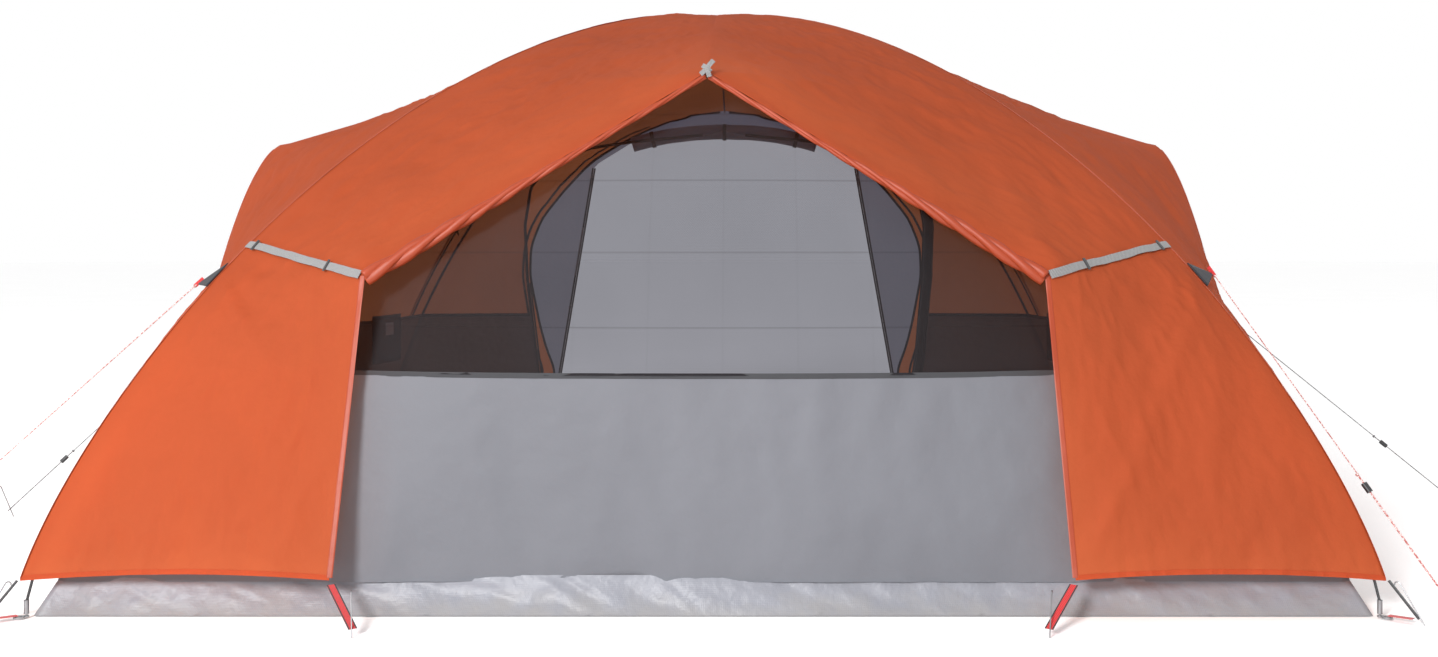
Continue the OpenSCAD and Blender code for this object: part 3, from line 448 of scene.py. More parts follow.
def cloth_material(name, colour, roughness, through=0.0, glow=None, pitch=0.0016, vary=0.06,
                   crinkle=0.35, sheen=0.05, dirt=0.0, shine=0.3):
    """Woven cloth. through is how much light comes through it, and glow its colour then.

    dirt is how much mud has splashed up from the ground.
    """
    n = Nodes(name)
    where = n.place("Object")
    broad = n.noise(where, 1.7, 4)
    tones = [(0.25, shade(colour, 1 - vary)), (0.5, colour), (0.75, shade(colour, 1 + vary))]
    tone = n.ramp(broad, tones)
    if dirt:
        low = n.add("ShaderNodeSeparateXYZ")
        n.link(where, low.inputs[0])
        splash = n.noise(where, 14, 6)
        height = n.math("MULTIPLY", low.outputs["Z"], 7.0)
        near = n.math("SUBTRACT", splash, height)
        amount = n.math("MULTIPLY", n.math("MAXIMUM", near, 0.0), dirt)
        soiled = n.add("ShaderNodeMix", data_type="RGBA")
        for socket in soiled.inputs:
            if socket.name == "A" and socket.type == "RGBA":
                n.link(tone, socket)
            if socket.name == "B" and socket.type == "RGBA":
                socket.default_value = MUD
            if socket.name == "Factor" and socket.type == "VALUE" and socket.enabled:
                n.link(amount, socket)
        tone = next(s for s in soiled.outputs if s.type == "RGBA")
    cross = n.weave(n.place("UV"), pitch)
    normal = n.bump(cross, 0.25, pitch * 0.4)
    crumple = n.noise(where, 26, 6)
    normal = n.bump(crumple, crinkle, 0.004, normal)
    soft = n.noise(where, 7.5, 3)
    normal = n.bump(soft, crinkle, 0.012, normal)
    base = n.add("ShaderNodeBsdfPrincipled", Roughness=roughness)
    base.inputs["Sheen Weight"].default_value = sheen
    base.inputs["Specular IOR Level"].default_value = shine
    n.link(tone, base.inputs["Base Color"])
    n.link(normal, base.inputs["Normal"])
    if not through:
        return n.surface(base)
    glowing = n.add("ShaderNodeBsdfTranslucent")
    light = glow or colour
    n.link(n.ramp(broad, [(0.25, shade(light, 1 - vary)), (0.75, shade(light, 1 + vary))]),
           glowing.inputs["Color"])
    n.link(normal, glowing.inputs["Normal"])
    both = n.add("ShaderNodeMixShader", Fac=through)
    n.link(base.outputs[0], both.inputs[1])
    n.link(glowing.outputs[0], both.inputs[2])
    return n.surface(both)


# From one crease of the folded net to the next
FOLD_STEP = 0.248


def net_material(name, colour, cover, creased=False):
    """Insect mesh: fine threads with holes, seen from far off as a veil. cover is the threads' share."""
    n = Nodes(name)
    where = n.place("Object")
    base = n.add("ShaderNodeBsdfPrincipled", Roughness=0.85)
    base.inputs["Specular IOR Level"].default_value = 0.15
    broad = n.noise(where, 2.2, 3)
    tone = n.ramp(broad, [(0.3, shade(colour, 0.85)), (0.7, shade(colour, 1.15))])
    n.link(tone, base.inputs["Base Color"])
    cross = n.weave(n.place("UV"), 0.0030)
    fold = n.noise(where, 5.0, 4, (1, 1, 0.5))
    veil = n.math("ADD", n.math("MULTIPLY", cross, 0.06), n.math("MULTIPLY", fold, 0.03))
    if creased:
        # Creases left by folding: the axis they are spaced along, where one is, how much denser it looks
        axes = n.add("ShaderNodeSeparateXYZ")
        n.link(where, axes.inputs[0])
        for axis, first, depth in (("Z", 0.920, 0.055), ("X", 0.060, 0.012)):
            step = n.math("DIVIDE", n.math("SUBTRACT", axes.outputs[axis], first), FOLD_STEP)
            part = n.math("FRACT", n.math("ADD", step, 9.5), 0)
            near = n.math("ABSOLUTE", n.math("SUBTRACT", part, 0.5), 0)
            line = n.math("LESS_THAN", near, 0.012)
            veil = n.math("ADD", veil, n.math("MULTIPLY", line, depth))
    clear = n.add("ShaderNodeBsdfTransparent")
    clear.inputs["Color"].default_value = (0.88, 0.895, 1.0, 1)
    both = n.add("ShaderNodeMixShader")
    n.link(n.math("ADD", veil, cover - 0.03), both.inputs[0])
    n.link(clear.outputs[0], both.inputs[1])
    n.link(base.outputs[0], both.inputs[2])
    return n.surface(both)


def hard_material(name, colour, roughness, metallic=0.0, grain=90.0, wear=0.25, coat=0.0):
    """Moulded plastic, fibreglass or metal, with fine grain and uneven polish."""
    n = Nodes(name)
    where = n.place("Object")
    broad = n.noise(where, 9, 4)
    base = n.add("ShaderNodeBsdfPrincipled", Metallic=metallic)
    base.inputs["Coat Weight"].default_value = coat
    n.link(n.ramp(broad, [(0.3, shade(colour, 1 - wear)), (0.7, shade(colour, 1 + wear))]),
           base.inputs["Base Color"])
    scuffs = n.noise(where, grain, 6)
    rough = n.ramp(scuffs, [(0.3, (roughness * 0.75,) * 3), (0.7, (min(1, roughness * 1.3),) * 3)])
    n.link(rough, base.inputs["Roughness"])
    n.link(n.bump(scuffs, 0.2, 0.0006), base.inputs["Normal"])
    return n.surface(base)


def webbing_material(name, colour):
    """Woven strap: slanting coarse threads with a little fuzz."""
    n = Nodes(name)
    uv = n.place("UV")
    where = n.place("Object")
    wave = n.add("ShaderNodeTexWave", wave_type="BANDS", bands_direction="DIAGONAL", Scale=90,
                 Distortion=0.6)
    n.link(uv, wave.inputs["Vector"])
    fuzz = n.noise(where, 160, 4)
    height = n.math("ADD", wave.outputs["Fac"], n.math("MULTIPLY", fuzz, 0.5))
    base = n.add("ShaderNodeBsdfPrincipled", Roughness=0.72)
    base.inputs["Sheen Weight"].default_value = 0.2
    # The colour follows the threads' height: painted shade in the grooves between them and a painted
    # highlight on their tops
    tone = n.ramp(height, [(0.2, shade(colour, 0.6)), (0.9, shade(colour, 1.25))])
    n.link(tone, base.inputs["Base Color"])
    n.link(n.bump(height, 0.7, 0.0012), base.inputs["Normal"])
    return n.surface(base)


def line_material(name, colour, fleck):
    """Braided cord with pale flecks."""
    n = Nodes(name)
    where = n.place("Object")
    grain = n.noise(where, 210, 2)
    braid = n.noise(where, 420, 3)
    base = n.add("ShaderNodeBsdfPrincipled", Roughness=0.6)
    n.link(n.ramp(grain, [(0.42, shade(colour, 0.85)), (0.5, colour), (0.56, fleck)]),
           base.inputs["Base Color"])
    n.link(n.bump(braid, 0.6, 0.0008), base.inputs["Normal"])
    return n.surface(base)


ORANGE = (0.430, 0.080, 0.029)
ORANGE_GLOW = (0.95, 0.29, 0.095)
M = {
    "fly": cloth_material("fly_cloth", ORANGE, 0.70, 0.44, ORANGE_GLOW, sheen=0.0, shine=0.10,
                          crinkle=0.55),
    # The orange cloth again, glossier, with its colour darkened: painted shade on the door hems and the
    # rolled front door
    "fly_shaded_glossy": cloth_material("fly_hem_cloth", (0.30, 0.042, 0.011), 0.45, 0.25, ORANGE_GLOW, sheen=0.0,
                                 shine=0.45),
    "fly_seam": cloth_material("fly_seam_cloth", (0.37, 0.062, 0.022), 0.6, 0.1, ORANGE_GLOW, sheen=0.0),
    "porch": cloth_material("porch_cloth", (0.36, 0.37, 0.43), 0.55, 0.48, (0.55, 0.57, 0.66)),
    "inner": cloth_material("inner_cloth", (0.140, 0.145, 0.164), 0.6, 0.2, (0.36, 0.37, 0.41)),
    "floor": cloth_material("floor_cloth", (0.205, 0.209, 0.236), 0.38, 0.08, (0.6, 0.6, 0.62), 0.0030,
                            crinkle=0.9, dirt=0.5),
    "net_front": net_material("net_front", (0.0145, 0.0120, 0.0130), 0.722, creased=True),
    "net": net_material("net_sides", (0.020, 0.019, 0.021), 0.20),
    "binding": webbing_material("binding_tape", (0.020, 0.020, 0.024)),
    "tape": webbing_material("grey_tape", (0.165, 0.163, 0.163)),
    "black_web": webbing_material("black_webbing", (0.014, 0.014, 0.016)),
    "red_web": webbing_material("red_webbing", (0.46, 0.016, 0.018)),
    "line": line_material("guyline_braid", (0.40, 0.075, 0.065), (0.75, 0.62, 0.60)),
    "dark_line": line_material("guyline_dark_braid", (0.05, 0.05, 0.055), (0.24, 0.23, 0.24)),
    "rod": hard_material("fibreglass", (0.018, 0.018, 0.020), 0.32, coat=0.3),
    "steel": hard_material("zinced_steel", (0.30, 0.30, 0.31), 0.40, 1.0, wear=0.2),
    "plastic": hard_material("moulded_black", (0.020, 0.020, 0.022), 0.48),
    "teeth": hard_material("zip_teeth", (0.028, 0.028, 0.032), 0.4),
    "pocket": cloth_material("pocket_cloth", (0.016, 0.016, 0.021), 0.7),
    "label": cloth_material("pocket_window", (0.42, 0.40, 0.41), 0.5, pitch=0.004),
}


# ---------------------------------------------------------------- camera, lights, floor
def make_camera():
    data = bpy.data.cameras.new("camera")
    data.lens = LENS_MM
    data.sensor_width = SENSOR_MM
    data.shift_x, data.shift_y = SHIFT
    data.clip_end = 400
    camera = bpy.data.objects.new("camera", data)
    bpy.context.scene.collection.objects.link(camera)
    camera.location = EYE
    camera.rotation_euler = (math.radians(90), 0, 0)
    bpy.context.scene.camera = camera


def area_light(name, place, aim, size, power):
    data = bpy.data.lights.new(name, "AREA")
    data.shape = "DISK"
    data.size = size
    data.energy = power
    light = bpy.data.objects.new(name, data)
    bpy.context.scene.collection.objects.link(light)
    light.location = place
    light.rotation_euler = (Vector(aim) - Vector(place)).to_track_quat("-Z", "Y").to_euler()


def make_studio():
    scene = bpy.context.scene
    scene.view_settings.view_transform = "Standard"
    world = bpy.data.worlds.new("studio")
    world.use_nodes = True
    background = world.node_tree.nodes["Background"]
    background.inputs["Color"].default_value = (1.0, 1.0, 1.0, 1)
    background.inputs["Strength"].default_value = 1.0
    scene.world = world
    area_light("key", KEY_AT, KEY_AIM, KEY_SIZE, KEY_WATTS)
    floor = Nodes("studio_floor")
    base = floor.add("ShaderNodeBsdfPrincipled", Roughness=0.9)
    tone = floor.noise(floor.place("Object"), 0.8, 2)
    floor.link(floor.ramp(tone, [(0.3, (0.975, 0.975, 0.975)), (0.7, (0.99, 0.99, 0.99))]),
               base.inputs["Base Color"])
    floor.link(base.outputs[0], floor.out.inputs[0])
    bm = bmesh.new()
    bmesh.ops.create_circle(bm, cap_ends=True, radius=90, segments=96)
    ground = finish_mesh("studio_floor", bm, floor.material)
    ground.location.z = -0.001


make_camera()
make_studio()


# ---------------------------------------------------------------- guylines
def guy_frame(name):
    """A line's start, the way it runs, the way across, its length, and the share where its runner sits."""
    tab, peg, share = (np.array(v) if isinstance(v, tuple) else v for v in GUYS[name])
    down = unit(peg - tab)
    return tab, down, unit(np.cross(down, [0, 0, 1])), np.linalg.norm(peg - tab), share


def guy_points(name):
    """Down from the tab, round the peg, and back up to the runner."""
    tab, d, s, length, share = guy_frame(name)
    turn = length - 0.022
    points = [tab + d * (turn - 0.024) * q / 9 for q in range(10)]
    # The bend round the peg: steps along the line and across it, from where it turns
    loop = [(-0.010, -0.0016), (0.002, -0.0026), (0.012, LINE_GAP / 2 - 0.0044), (0.016, LINE_GAP / 2),
            (0.012, LINE_GAP / 2 + 0.0044), (0.002, LINE_GAP + 0.0026), (-0.010, LINE_GAP + 0.0016),
            (-0.024, LINE_GAP)]
    points += [tab + d * (turn + a) + s * b for a, b in loop]
    end = share * length - 0.046
    points += [tab + d * mix(turn - 0.024, end, q / 5) + s * LINE_GAP for q in range(1, 6)]
    return np.array(points)


def make_guyline(name):
    points = guy_points(name)
    data = bpy.data.curves.new(f"guyline_{name}", "CURVE")
    data.dimensions = "3D"
    spline = data.splines.new("POLY")
    spline.points.add(len(points) - 1)
    for point, place in zip(spline.points, points):
        point.co = (*place, 1)
    data.bevel_depth = LINE_D / 2
    data.bevel_resolution = 3
    data.use_fill_caps = True
    data.materials.append(M["line"] if name.startswith("front") else M["dark_line"])
    line = bpy.data.objects.new(f"cord_{name}", data)
    bpy.context.scene.collection.objects.link(line)
    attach(line, "tent")
    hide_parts(f"guyline_{name}")
    # The knot that stops the end above the runner, and the one at the tab
    _, d, s, _, _ = guy_frame(name)
    knots = []
    for centre, reach in ((points[-1] - d * 0.004, 0.0042), (points[0] + d * 0.010, 0.0040)):
        turns = np.linspace(0, 2 * math.pi * 2.5, 40)
        n = np.cross(d, s)
        coil = [centre + reach * (math.cos(a) * s + math.sin(a) * n) + d * 0.0026 * (a / math.pi / 2 - 1.2)
                for a in turns]
        knots.append((coil, LINE_D / 2))
    knot = tubes(f"knots_{name}", knots, data.materials[0], sides=8)
    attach(knot, "tent")


for guy in GUYS:
    make_guyline(guy)


# ---------------------------------------------------------------- flysheet
FLY_ROWS = 160
fly_z = rows(HEM_Z, FLY.top, FLY_ROWS, 1.75, (TAPE_Z, FLY.hoop_top, EDGE_POLE_Z, REAR_TOP[2]))


def fly_front(sx):
    a, b = FLY.corner(fly_z, sx, -1), front_edge(fly_z, sx)
    tab = np.array([sx * 1.72, -1.72, 1.08])
    folds = [(tab, (sx * 1.20, -2.22, 0.16), 0.026 + 0.012 * sx, 0.026),
             (tab, (sx * 1.62, -2.12, 0.30), 0.012, 0.05),
             ((sx * 1.62, -1.66, 1.22), (sx * 1.30, -1.42, 1.62), 0.010, 0.05),
             (SHOULDER * (sx, 1, 1), (sx * 1.02, -1.52, 1.62), 0.012, 0.05),
             (SHOULDER * (sx, 1, 1), (sx * 1.26, -1.72, 1.30), 0.008, 0.03)]
    hold = FLY.corner(np.array(1.10), sx, -1)
    for k, (x, y, z) in enumerate(((1.50, -1.98, 0.86), (1.40, -2.03, 0.74), (1.62, -1.92, 0.80),
                                   (1.38, -1.92, 1.04), (1.30, -2.00, 0.92))):
        folds.append((hold, (sx * x, y, z), 0.010 - 0.001 * k, 0.012))
    for x, y, z in ((1.22, -1.85, 1.32), (1.34, -1.80, 1.27), (1.10, -1.78, 1.38), (1.16, -1.62, 1.52)):
        folds.append((SHOULDER * (sx, 1, 1), (sx * x, y, z), 0.011, 0.013))
    for x, y, z in ((1.19, -2.08, 0.80), (1.26, -2.05, 0.86), (1.34, -2.00, 0.93)):
        folds.append((SHOULDER * (sx, 1, 1), (sx * x, y, z), 0.009, 0.014))
    for x, z, run, drop in ((1.34, 0.72, 0.06, 0.10), (1.40, 0.66, 0.05, 0.12), (1.30, 0.60, 0.05, 0.09),
                            (1.45, 0.52, 0.07, 0.10), (1.36, 0.42, 0.04, 0.12), (1.28, 0.34, 0.05, 0.10)):
        folds.append(((sx * x, -2.1, z), (sx * (x + run), -2.1, z - drop), 0.008, 0.011))
    return hem_pull(dress(loft(a, b, 112), 11 + sx, 0.012, 0.020, 0.0100, folds), HEM_RISE)


def fly_side(sx, sy):
    a, b = FLY.corner(fly_z, sx, sy), FLY.side(fly_z, sx, sy)
    folds = [((sx * 2.00, sy * 0.35, 1.66), (sx * 1.30, sy * 0.98, 1.86), 0.012, 0.035),
             ((sx * 2.02, sy * 0.62, 1.52), (sx * 1.36, sy * 1.26, 1.62), 0.014, 0.04),
             ((sx * 2.04, sy * 0.80, 1.30), (sx * 1.75, sy * 1.60, 1.02), 0.012, 0.05)]
    return dress(loft(a, b, 48), 23 + 2 * sx + sy, 0.016, 0.024, 0.0120, folds)


def fly_hoop(sx):
    z = fly_z[fly_z <= FLY.hoop_top]
    return dress(loft(FLY.side(z, sx, 1), FLY.side(z, sx, -1), 48), 41 + sx, 0.010, 0.018, 0.009)


def fly_rear(sx):
    a, b = FLY.corner(fly_z, sx, 1), rear_edge(fly_z, sx)
    folds = [((sx * 1.60, 1.66, 1.20), (sx * 1.24, 1.98, 0.95), 0.016, 0.05),
             ((sx * 1.72, 1.72, 1.08), (sx * 1.22, 2.16, 0.30), 0.020, 0.08),
             ((sx * 1.15, 1.92, 1.22), (sx * 1.32, 1.55, 1.52), 0.014, 0.04),
             ((sx * 0.98, 1.82, 1.50), (sx * 1.10, 1.35, 1.78), 0.012, 0.04)]
    return dress(loft(a, b, 44), 53 + sx, 0.012, 0.024, 0.0120, folds)


fly_grids = []
for side in (-1, 1):
    fly_grids += [fly_front(side), fly_side(side, -1), fly_hoop(side), fly_side(side, 1), fly_rear(side)]
flysheet = cloth_from("flysheet", fly_grids, M["fly"])
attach(flysheet, "tent")
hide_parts("fly_front_leg_left", "fly_front_leg_right", "fly_front_roof", "fly_side_left",
            "fly_side_right", "fly_rear_left", "fly_rear_right", "fly_rear_roof", "fly_crown_patch")
# The panels again by where they are: each side's five start with its front one
FRONT_GRID = {sx: fly_grids[0 if sx < 0 else 5] for sx in (-1, 1)}
SIDE_GRID = {(sx, sy): fly_grids[(0 if sx < 0 else 5) + (1 if sy < 0 else 3)] for sx in (-1, 1)
             for sy in (-1, 1)}
REAR_GRID = {sx: fly_grids[4 if sx < 0 else 9] for sx in (-1, 1)}


def strip_on(grid, points):
    """A line on a panel: (points, the panel's normals there)."""
    normal = outward(grid)
    return np.array([grid[i, j] for i, j in points]), np.array([normal[i, j] for i, j in points])


def column(grid, j, stop):
    return strip_on(grid, [(i, j) for i in range(stop)])


def row_at(z):
    """The flysheet's row nearest a height."""
    return int(np.argmin(np.abs(fly_z - z)))


def own(piece, slot, *nodes):
    """Rides on the tent and stands for the CAD nodes named, which it hides. slot is not used."""
    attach(piece, "tent")
    if nodes:
        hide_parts(*nodes)
    return piece


# Felled seams over the corner poles and hoops
crown_row = row_at(2.235)
hoop_row = row_at(1.64)
seam_lines = []
for side in (-1, 1):
    for sy in (-1, 1):
        seam_lines.append(column(SIDE_GRID[side, sy], 0, crown_row))
        seam_lines.append(column(SIDE_GRID[side, sy], -1, hoop_row))
own(ribbon("fly_seams", seam_lines, 0.012, 0.0014, M["fly_seam"], 0.0004), "fly_orange")

# Hems: a doubled band along the free edges
edge_row = row_at(TAPE_Z)
hem_lines = [column(FRONT_GRID[side], -1, edge_row + 1) for side in (-1, 1)]
# The doubled hem lets less light through, and its colour is darkened as well: painted shade
own(ribbon("fly_door_hems", hem_lines, 0.018, 0.0030, M["fly_shaded_glossy"], -0.0006), "fly_orange")
hem_lines = [strip_on(grid, [(0, j) for j in range(grid.shape[1])]) for grid in fly_grids]
own(ribbon("fly_bottom_hems", hem_lines, 0.016, 0.0024, M["fly"], -0.0006), "fly_orange")


# ---------------------------------------------------------------- back of the flysheet
def porch_side(sx):
    z = rows(HEM_Z, 1.850, 60)
    a = np.stack([sx * soft_curve_of(ARCH, z), rear_y(z), z], -1)
    b = np.stack([sx * curve_of(DOOR, z), rear_y(z), z], -1)
    b[:, 0] = np.where(np.abs(b[:, 0]) > np.abs(a[:, 0]) - 0.012, a[:, 0] - sx * 0.012, b[:, 0])
    return dress(loft(a, b, 10), 61 + sx, 0.0, 0.006, 0.003)


def porch_cap(sx):
    z = rows(1.850, 1.980, 10)
    half = soft_curve_of(ARCH, z) * (1 - smooth(z, 1.955, 1.980)) + 0.002
    a = np.stack([sx * half, rear_y(z), z], -1)
    b = np.stack([0 * half, rear_y(z), z], -1)
    return loft(a, b, 24)


for side, word in ((-1, "left"), (1, "right")):
    porch = cloth_from(f"porch_panel_{word}", [porch_side(side), porch_cap(side)], M["porch"], 0.0004)
    # Both halves stand for one CAD node, and the left one names it
    own(porch, "porch_grey", *(["rear_porch_panel"] if side < 0 else []))

# Black piping where the fly meets the porch, and a second black line on the fly beside it
piping = []
pipe_z = rows(HEM_Z, 1.972, 90, 1.4)
for side in (-1, 1):
    edge = rear_edge(pipe_z, side)
    piping.append((edge - np.array([side * 0.004, 0.003, 0]), np.array([0, -1.0, -0.25])))
    keep = (fly_z > 0.3) & (fly_z < 1.90)
    facing = outward(REAR_GRID[side])[keep, -4]
    piping.append((REAR_GRID[side][keep, -4] - facing * 0.0015, -facing))
own(ribbon("arch_piping_and_dark_line", piping, 0.014, 0.004, M["binding"]), "webbing_black")

# ---------------------------------------------------------------- inner tent
low_z = rows(TUB_H - WALL_OVERLAP, SEAM_Z, 32)
net_z = rows(SEAM_Z, INNER.top, 70, 1.6, (INNER.hoop_top, 1.8))


def inner_row(sy, z, s0, s1, cols):
    """Part of the inner tent's front (sy -1) or back (sy 1), between two shares of its half width."""
    s = np.linspace(0, 1, cols + 1)[None, :]
    s0 = np.broadcast_to(np.asarray(s0, float), z.shape)[:, None]
    s1 = np.broadcast_to(np.asarray(s1, float), z.shape)[:, None]
    return inner_face(sy, z[:, None] + 0 * s, mix(s0, s1, s))


def door_share(z, sx):
    """Where the inner door's edge is, as a share of the inner tent's half width."""
    c = np.maximum(INNER.corner(z)[:, 0], 1e-6)
    return sx * np.minimum(1, soft_curve_of(INNER_DOOR, z, 0.02) / c)


def inner_side(z, sx, sy, seed, folds):
    return dress(loft(INNER.corner(z, sx, sy), INNER.side(z, sx, sy), 26), seed, 0.012, folds, folds * 0.3)


def inner_hoop(z, sx, seed, folds):
    z = z[z <= INNER.hoop_top]
    return dress(loft(INNER.side(z, sx, 1), INNER.side(z, sx, -1), 28), seed, 0.010, folds, folds * 0.3)


low_grids = [dress(inner_row(-1, low_z, -1, 1, 140), 71, 0.0, 0.018, 0.006,
                   [((-1.5, -2.08, 0.75), (-1.2, -2.09, 0.2), 0.008, 0.05),
                    ((0.6, -2.08, 0.78), (0.35, -2.09, 0.2), 0.006, 0.05)])]
net_front_grid = dress(inner_row(-1, net_z, -1, 1, 90), 73, 0.0, 0.010, 0.003)
net_grids = []
for side in (-1, 1):
    low_grids.append(inner_hoop(low_z, side, 77 + side, 0.008))
    low_grids.append(dress(inner_row(1, low_z, side, door_share(low_z, side), 16), 79, 0.0, 0.002, 0.001))
    net_grids.append(inner_hoop(net_z, side, 87 + side, 0.008))
    net_grids.append(dress(inner_row(1, net_z, side, door_share(net_z, side), 26), 89, 0.0, 0.003, 0.001))
    for sy in (-1, 1):
        low_grids.append(inner_side(low_z, side, sy, 81 + side + 2 * sy, 0.010))
        net_grids.append(inner_side(net_z, side, sy, 91 + side + 2 * sy, 0.010))

lower_wall = cloth_from("inner_lower_wall", low_grids, M["inner"])
own(lower_wall, "inner_grey", "inner_wall_front", "inner_wall_left", "inner_wall_right", "inner_wall_rear")

front_net = cloth_from("inner_net_front", [net_front_grid], M["net_front"])
own(front_net, "mesh_black", "mesh_front")

nets = cloth_from("inner_net_sides", net_grids, M["net"])
own(nets, "mesh_black", "mesh_left", "mesh_right", "mesh_rear")


# Binding tape: along the seam between cloth and net, up the corners, and round the back door
def inner_line(points):
    out = points - MIDDLE
    return points, out / np.linalg.norm(out, axis=1)[:, None]


bindings = [inner_line(g[-1]) for g in low_grids]
for side in (-1, 1):
    for sy in (-1, 1):
        bindings.append(inner_line(INNER.corner(rows(TUB_H, 2.165, 60, 1.6), side, sy)))
    door_z = rows(TUB_H, 1.822, 46, 1.5)
    edge = inner_face(1, door_z, door_share(door_z, side)) + np.array([side * 0.006, 0.003, 0.0])
    bindings.append((edge, np.array([0, -1.0, 0.25])))
own(ribbon("inner_bindings", bindings, 0.018, 0.0016, M["binding"], 0.0003), "webbing_black")


# ---------------------------------------------------------------- groundsheet
def tub_wall(turn, seed):
    """One wall of the tub, leaning in, with the creases of a sheet that has been folded."""
    q = np.linspace(0, 1, 14)[:, None]
    s = np.linspace(-1, 1, 240)[None, :]
    half = mix(TUB_FOOT, TUB_TOP, q)
    x, y, z = s * half, -half + 0 * s, mix(0.003, TUB_H, q) + 0 * s
    grid = np.stack([x, y, z], -1)
    lift = np.sin(math.pi * np.clip(q, 0, 1)) ** 0.7 * smooth(1 - np.abs(s), 0.0, 0.04)
    # The creases lean over as they rise
    slant = grid.copy()
    slant[..., 0] += 1.3 * grid[..., 2]
    bend = field(slant, (2.4, 2.4, 5), seed) * 0.024
    bend += (0.5 - np.abs(field(slant, (7, 7, 4), seed + 2))) * 0.022
    bend += (0.5 - np.abs(field(slant, (17, 17, 12), seed + 5))) * 0.010
    # Its top hangs lower near the corners
    droop = np.exp(-((np.abs(s) - 0.76) / 0.13) ** 2) * 0.17
    grid[..., 2] *= 1 - droop * q
    grid[..., 1] += lift * bend
    grid[..., 2] += lift * 0.4 * bend * (1 - q)
    c, n = math.cos(turn), math.sin(turn)
    return grid @ np.array([[c, n, 0], [-n, c, 0], [0, 0, 1]])


def tub_floor():
    q = np.linspace(-TUB_FOOT, TUB_FOOT, 100)
    x, y = np.meshgrid(q, q)
    grid = np.stack([x, y, 0 * x + 0.003], -1)
    inside = smooth(TUB_FOOT - np.maximum(np.abs(x), np.abs(y)), 0.0, 0.15)
    ruck = np.maximum(0, 0.5 - np.abs(field(grid, (3, 3, 1), 5)) - 0.3) * 0.03
    grid[..., 2] += inside * ruck
    return grid


tub = cloth_from("tub_groundsheet", [tub_wall(math.pi / 2 * k, 101 + k) for k in range(4)] + [tub_floor()],
                 M["floor"])
own(tub, "groundsheet_pe", "groundsheet")


# ---------------------------------------------------------------- rolled doors
def wrapped(turns, depth):
    """How a roll's surface goes in and out round it: the free edge and soft creases."""
    def shape(q, turn):
        lap = ((turn + turns * q) % (2 * math.pi)) / (2 * math.pi)
        crinkle = 0.5 * np.sin(7 * turn + 23 * q) + 0.5 * np.sin(3 * turn - 41 * q)
        return depth * (0.9 * lap + 0.35 * crinkle * math.sin(math.pi * min(1, max(0, q))))
    return shape


def roll_at(x):
    x = np.asarray(x, float)
    z = 1.850 - 0.075 * np.abs(x / 0.540) ** 2.2
    return np.stack([x, rear_y(1.850) - 0.080 + 0 * x, z], -1)


back_roll = tubes("back_door_rolled", [(roll_at(np.linspace(-0.54, 0.54, 60)), 0.041)], M["porch"], 36,
                  wrapped(1.5, 0.10))
own(back_roll, "porch_grey", "rear_door_roll")

door_roll_z = np.linspace(0.42, 1.50, 56)
door_roll = inner_face(1, door_roll_z, (curve_of(INNER_DOOR, door_roll_z) + 0.026)
                       / INNER.corner(door_roll_z)[:, 0]) - np.array([0, 0.052, 0])
own(tubes("inner_door_rolled", [(door_roll, 0.027)], M["pocket"], 30, wrapped(2.5, 0.14)),
    "mesh_black", "inner_door_roll")


def front_roll(sx, strand):
    """One of the strands of the rolled front door, wound along the underside of the roof's edge."""
    q = np.linspace(0.005, 0.99, 200)
    line = mix(SHOULDER, PEAK, q[:, None]) + np.array([-0.004, 0.002, -0.010])
    run = unit(PEAK - SHOULDER)
    out = unit(np.cross(run, [0, 1, 0]))
    back = np.cross(run, out)
    full = 1 - 0.62 * smooth(q, 0.0, 0.75)
    wind = 2 * math.pi * (3.4 * q + strand / 3)
    reach = 0.0120 * full
    line = line + (np.cos(wind) * reach)[:, None] * out + (np.sin(wind) * reach)[:, None] * back
    size = 0.0150 * full * (1 + 0.12 * np.sin(q * 47 + strand))
    return line * np.array([sx, 1, 1]), size


# The strands take the orange cloth with its colour darkened: painted shade
for side, word in ((-1, "left"), (1, "right")):
    strands = [front_roll(side, k) for k in range(3)]
    own(tubes(f"front_door_rolled_{word}", strands, M["fly_shaded_glossy"], 18, wrapped(5, 0.16)),
        "fly_orange", f"front_roll_{word}")


# ---------------------------------------------------------------- tapes, ties, tabs
def front_tape(sx):
    """Along the seam between the leg and the roof, on the cloth as it lies."""
    points, out = strip_on(FRONT_GRID[sx], [(edge_row, j) for j in range(1, FRONT_GRID[sx].shape[1])])
    held = np.pad(points, ((4, 4), (0, 0)), "edge")
    soft = np.mean([held[k:k + len(points)] for k in range(9)], axis=0)
    lift = np.max(np.sum((points - soft) * out, axis=1))
    return soft + out * (lift + 0.002), out


for side, word in ((-1, "left"), (1, "right")):
    tape = front_tape(side)
    own(ribbon(f"tape_{word}", [tape], 0.030, 0.002, M["tape"], 0.003), "tape_grey", f"front_tape_{word}")
    points, out = tape
    bars = []
    for k in (10, 80):
        across = unit(np.cross(points[k + 1] - points[k], out[k]))
        bars.append((np.array([points[k] + across * w for w in (-0.022, 0, 0.022)]), out[k]))
    own(ribbon(f"tape_bars_{word}", bars, 0.012, 0.003, M["black_web"], 0.0055), "webbing_black")

# The tie at the peak: three short strips of grey tape, crossed
peak = PEAK + np.array([0, -0.010, 0.004])
tie = [(np.array([peak + (-0.022, 0, -0.014), peak + (-0.006, -0.008, 0.0), peak + (0.010, -0.008, 0.020),
                  peak + (0.022, 0.0, 0.034)]), (0, -1, 0.2)),
       (np.array([peak + (-0.004, -0.010, 0.010), peak + (0.004, -0.014, -0.008),
                  peak + (0.008, -0.010, -0.024)]), (0, -1, 0)),
       (np.array([peak + (-0.016, -0.006, 0.016), peak + (0.0, -0.012, 0.006),
                  peak + (0.012, -0.008, -0.006)]), (0, -1, 0))]
own(ribbon("peak_tie_tape", tie, 0.017, 0.002, M["tape"], 0.001), "tape_grey", "peak_tie")


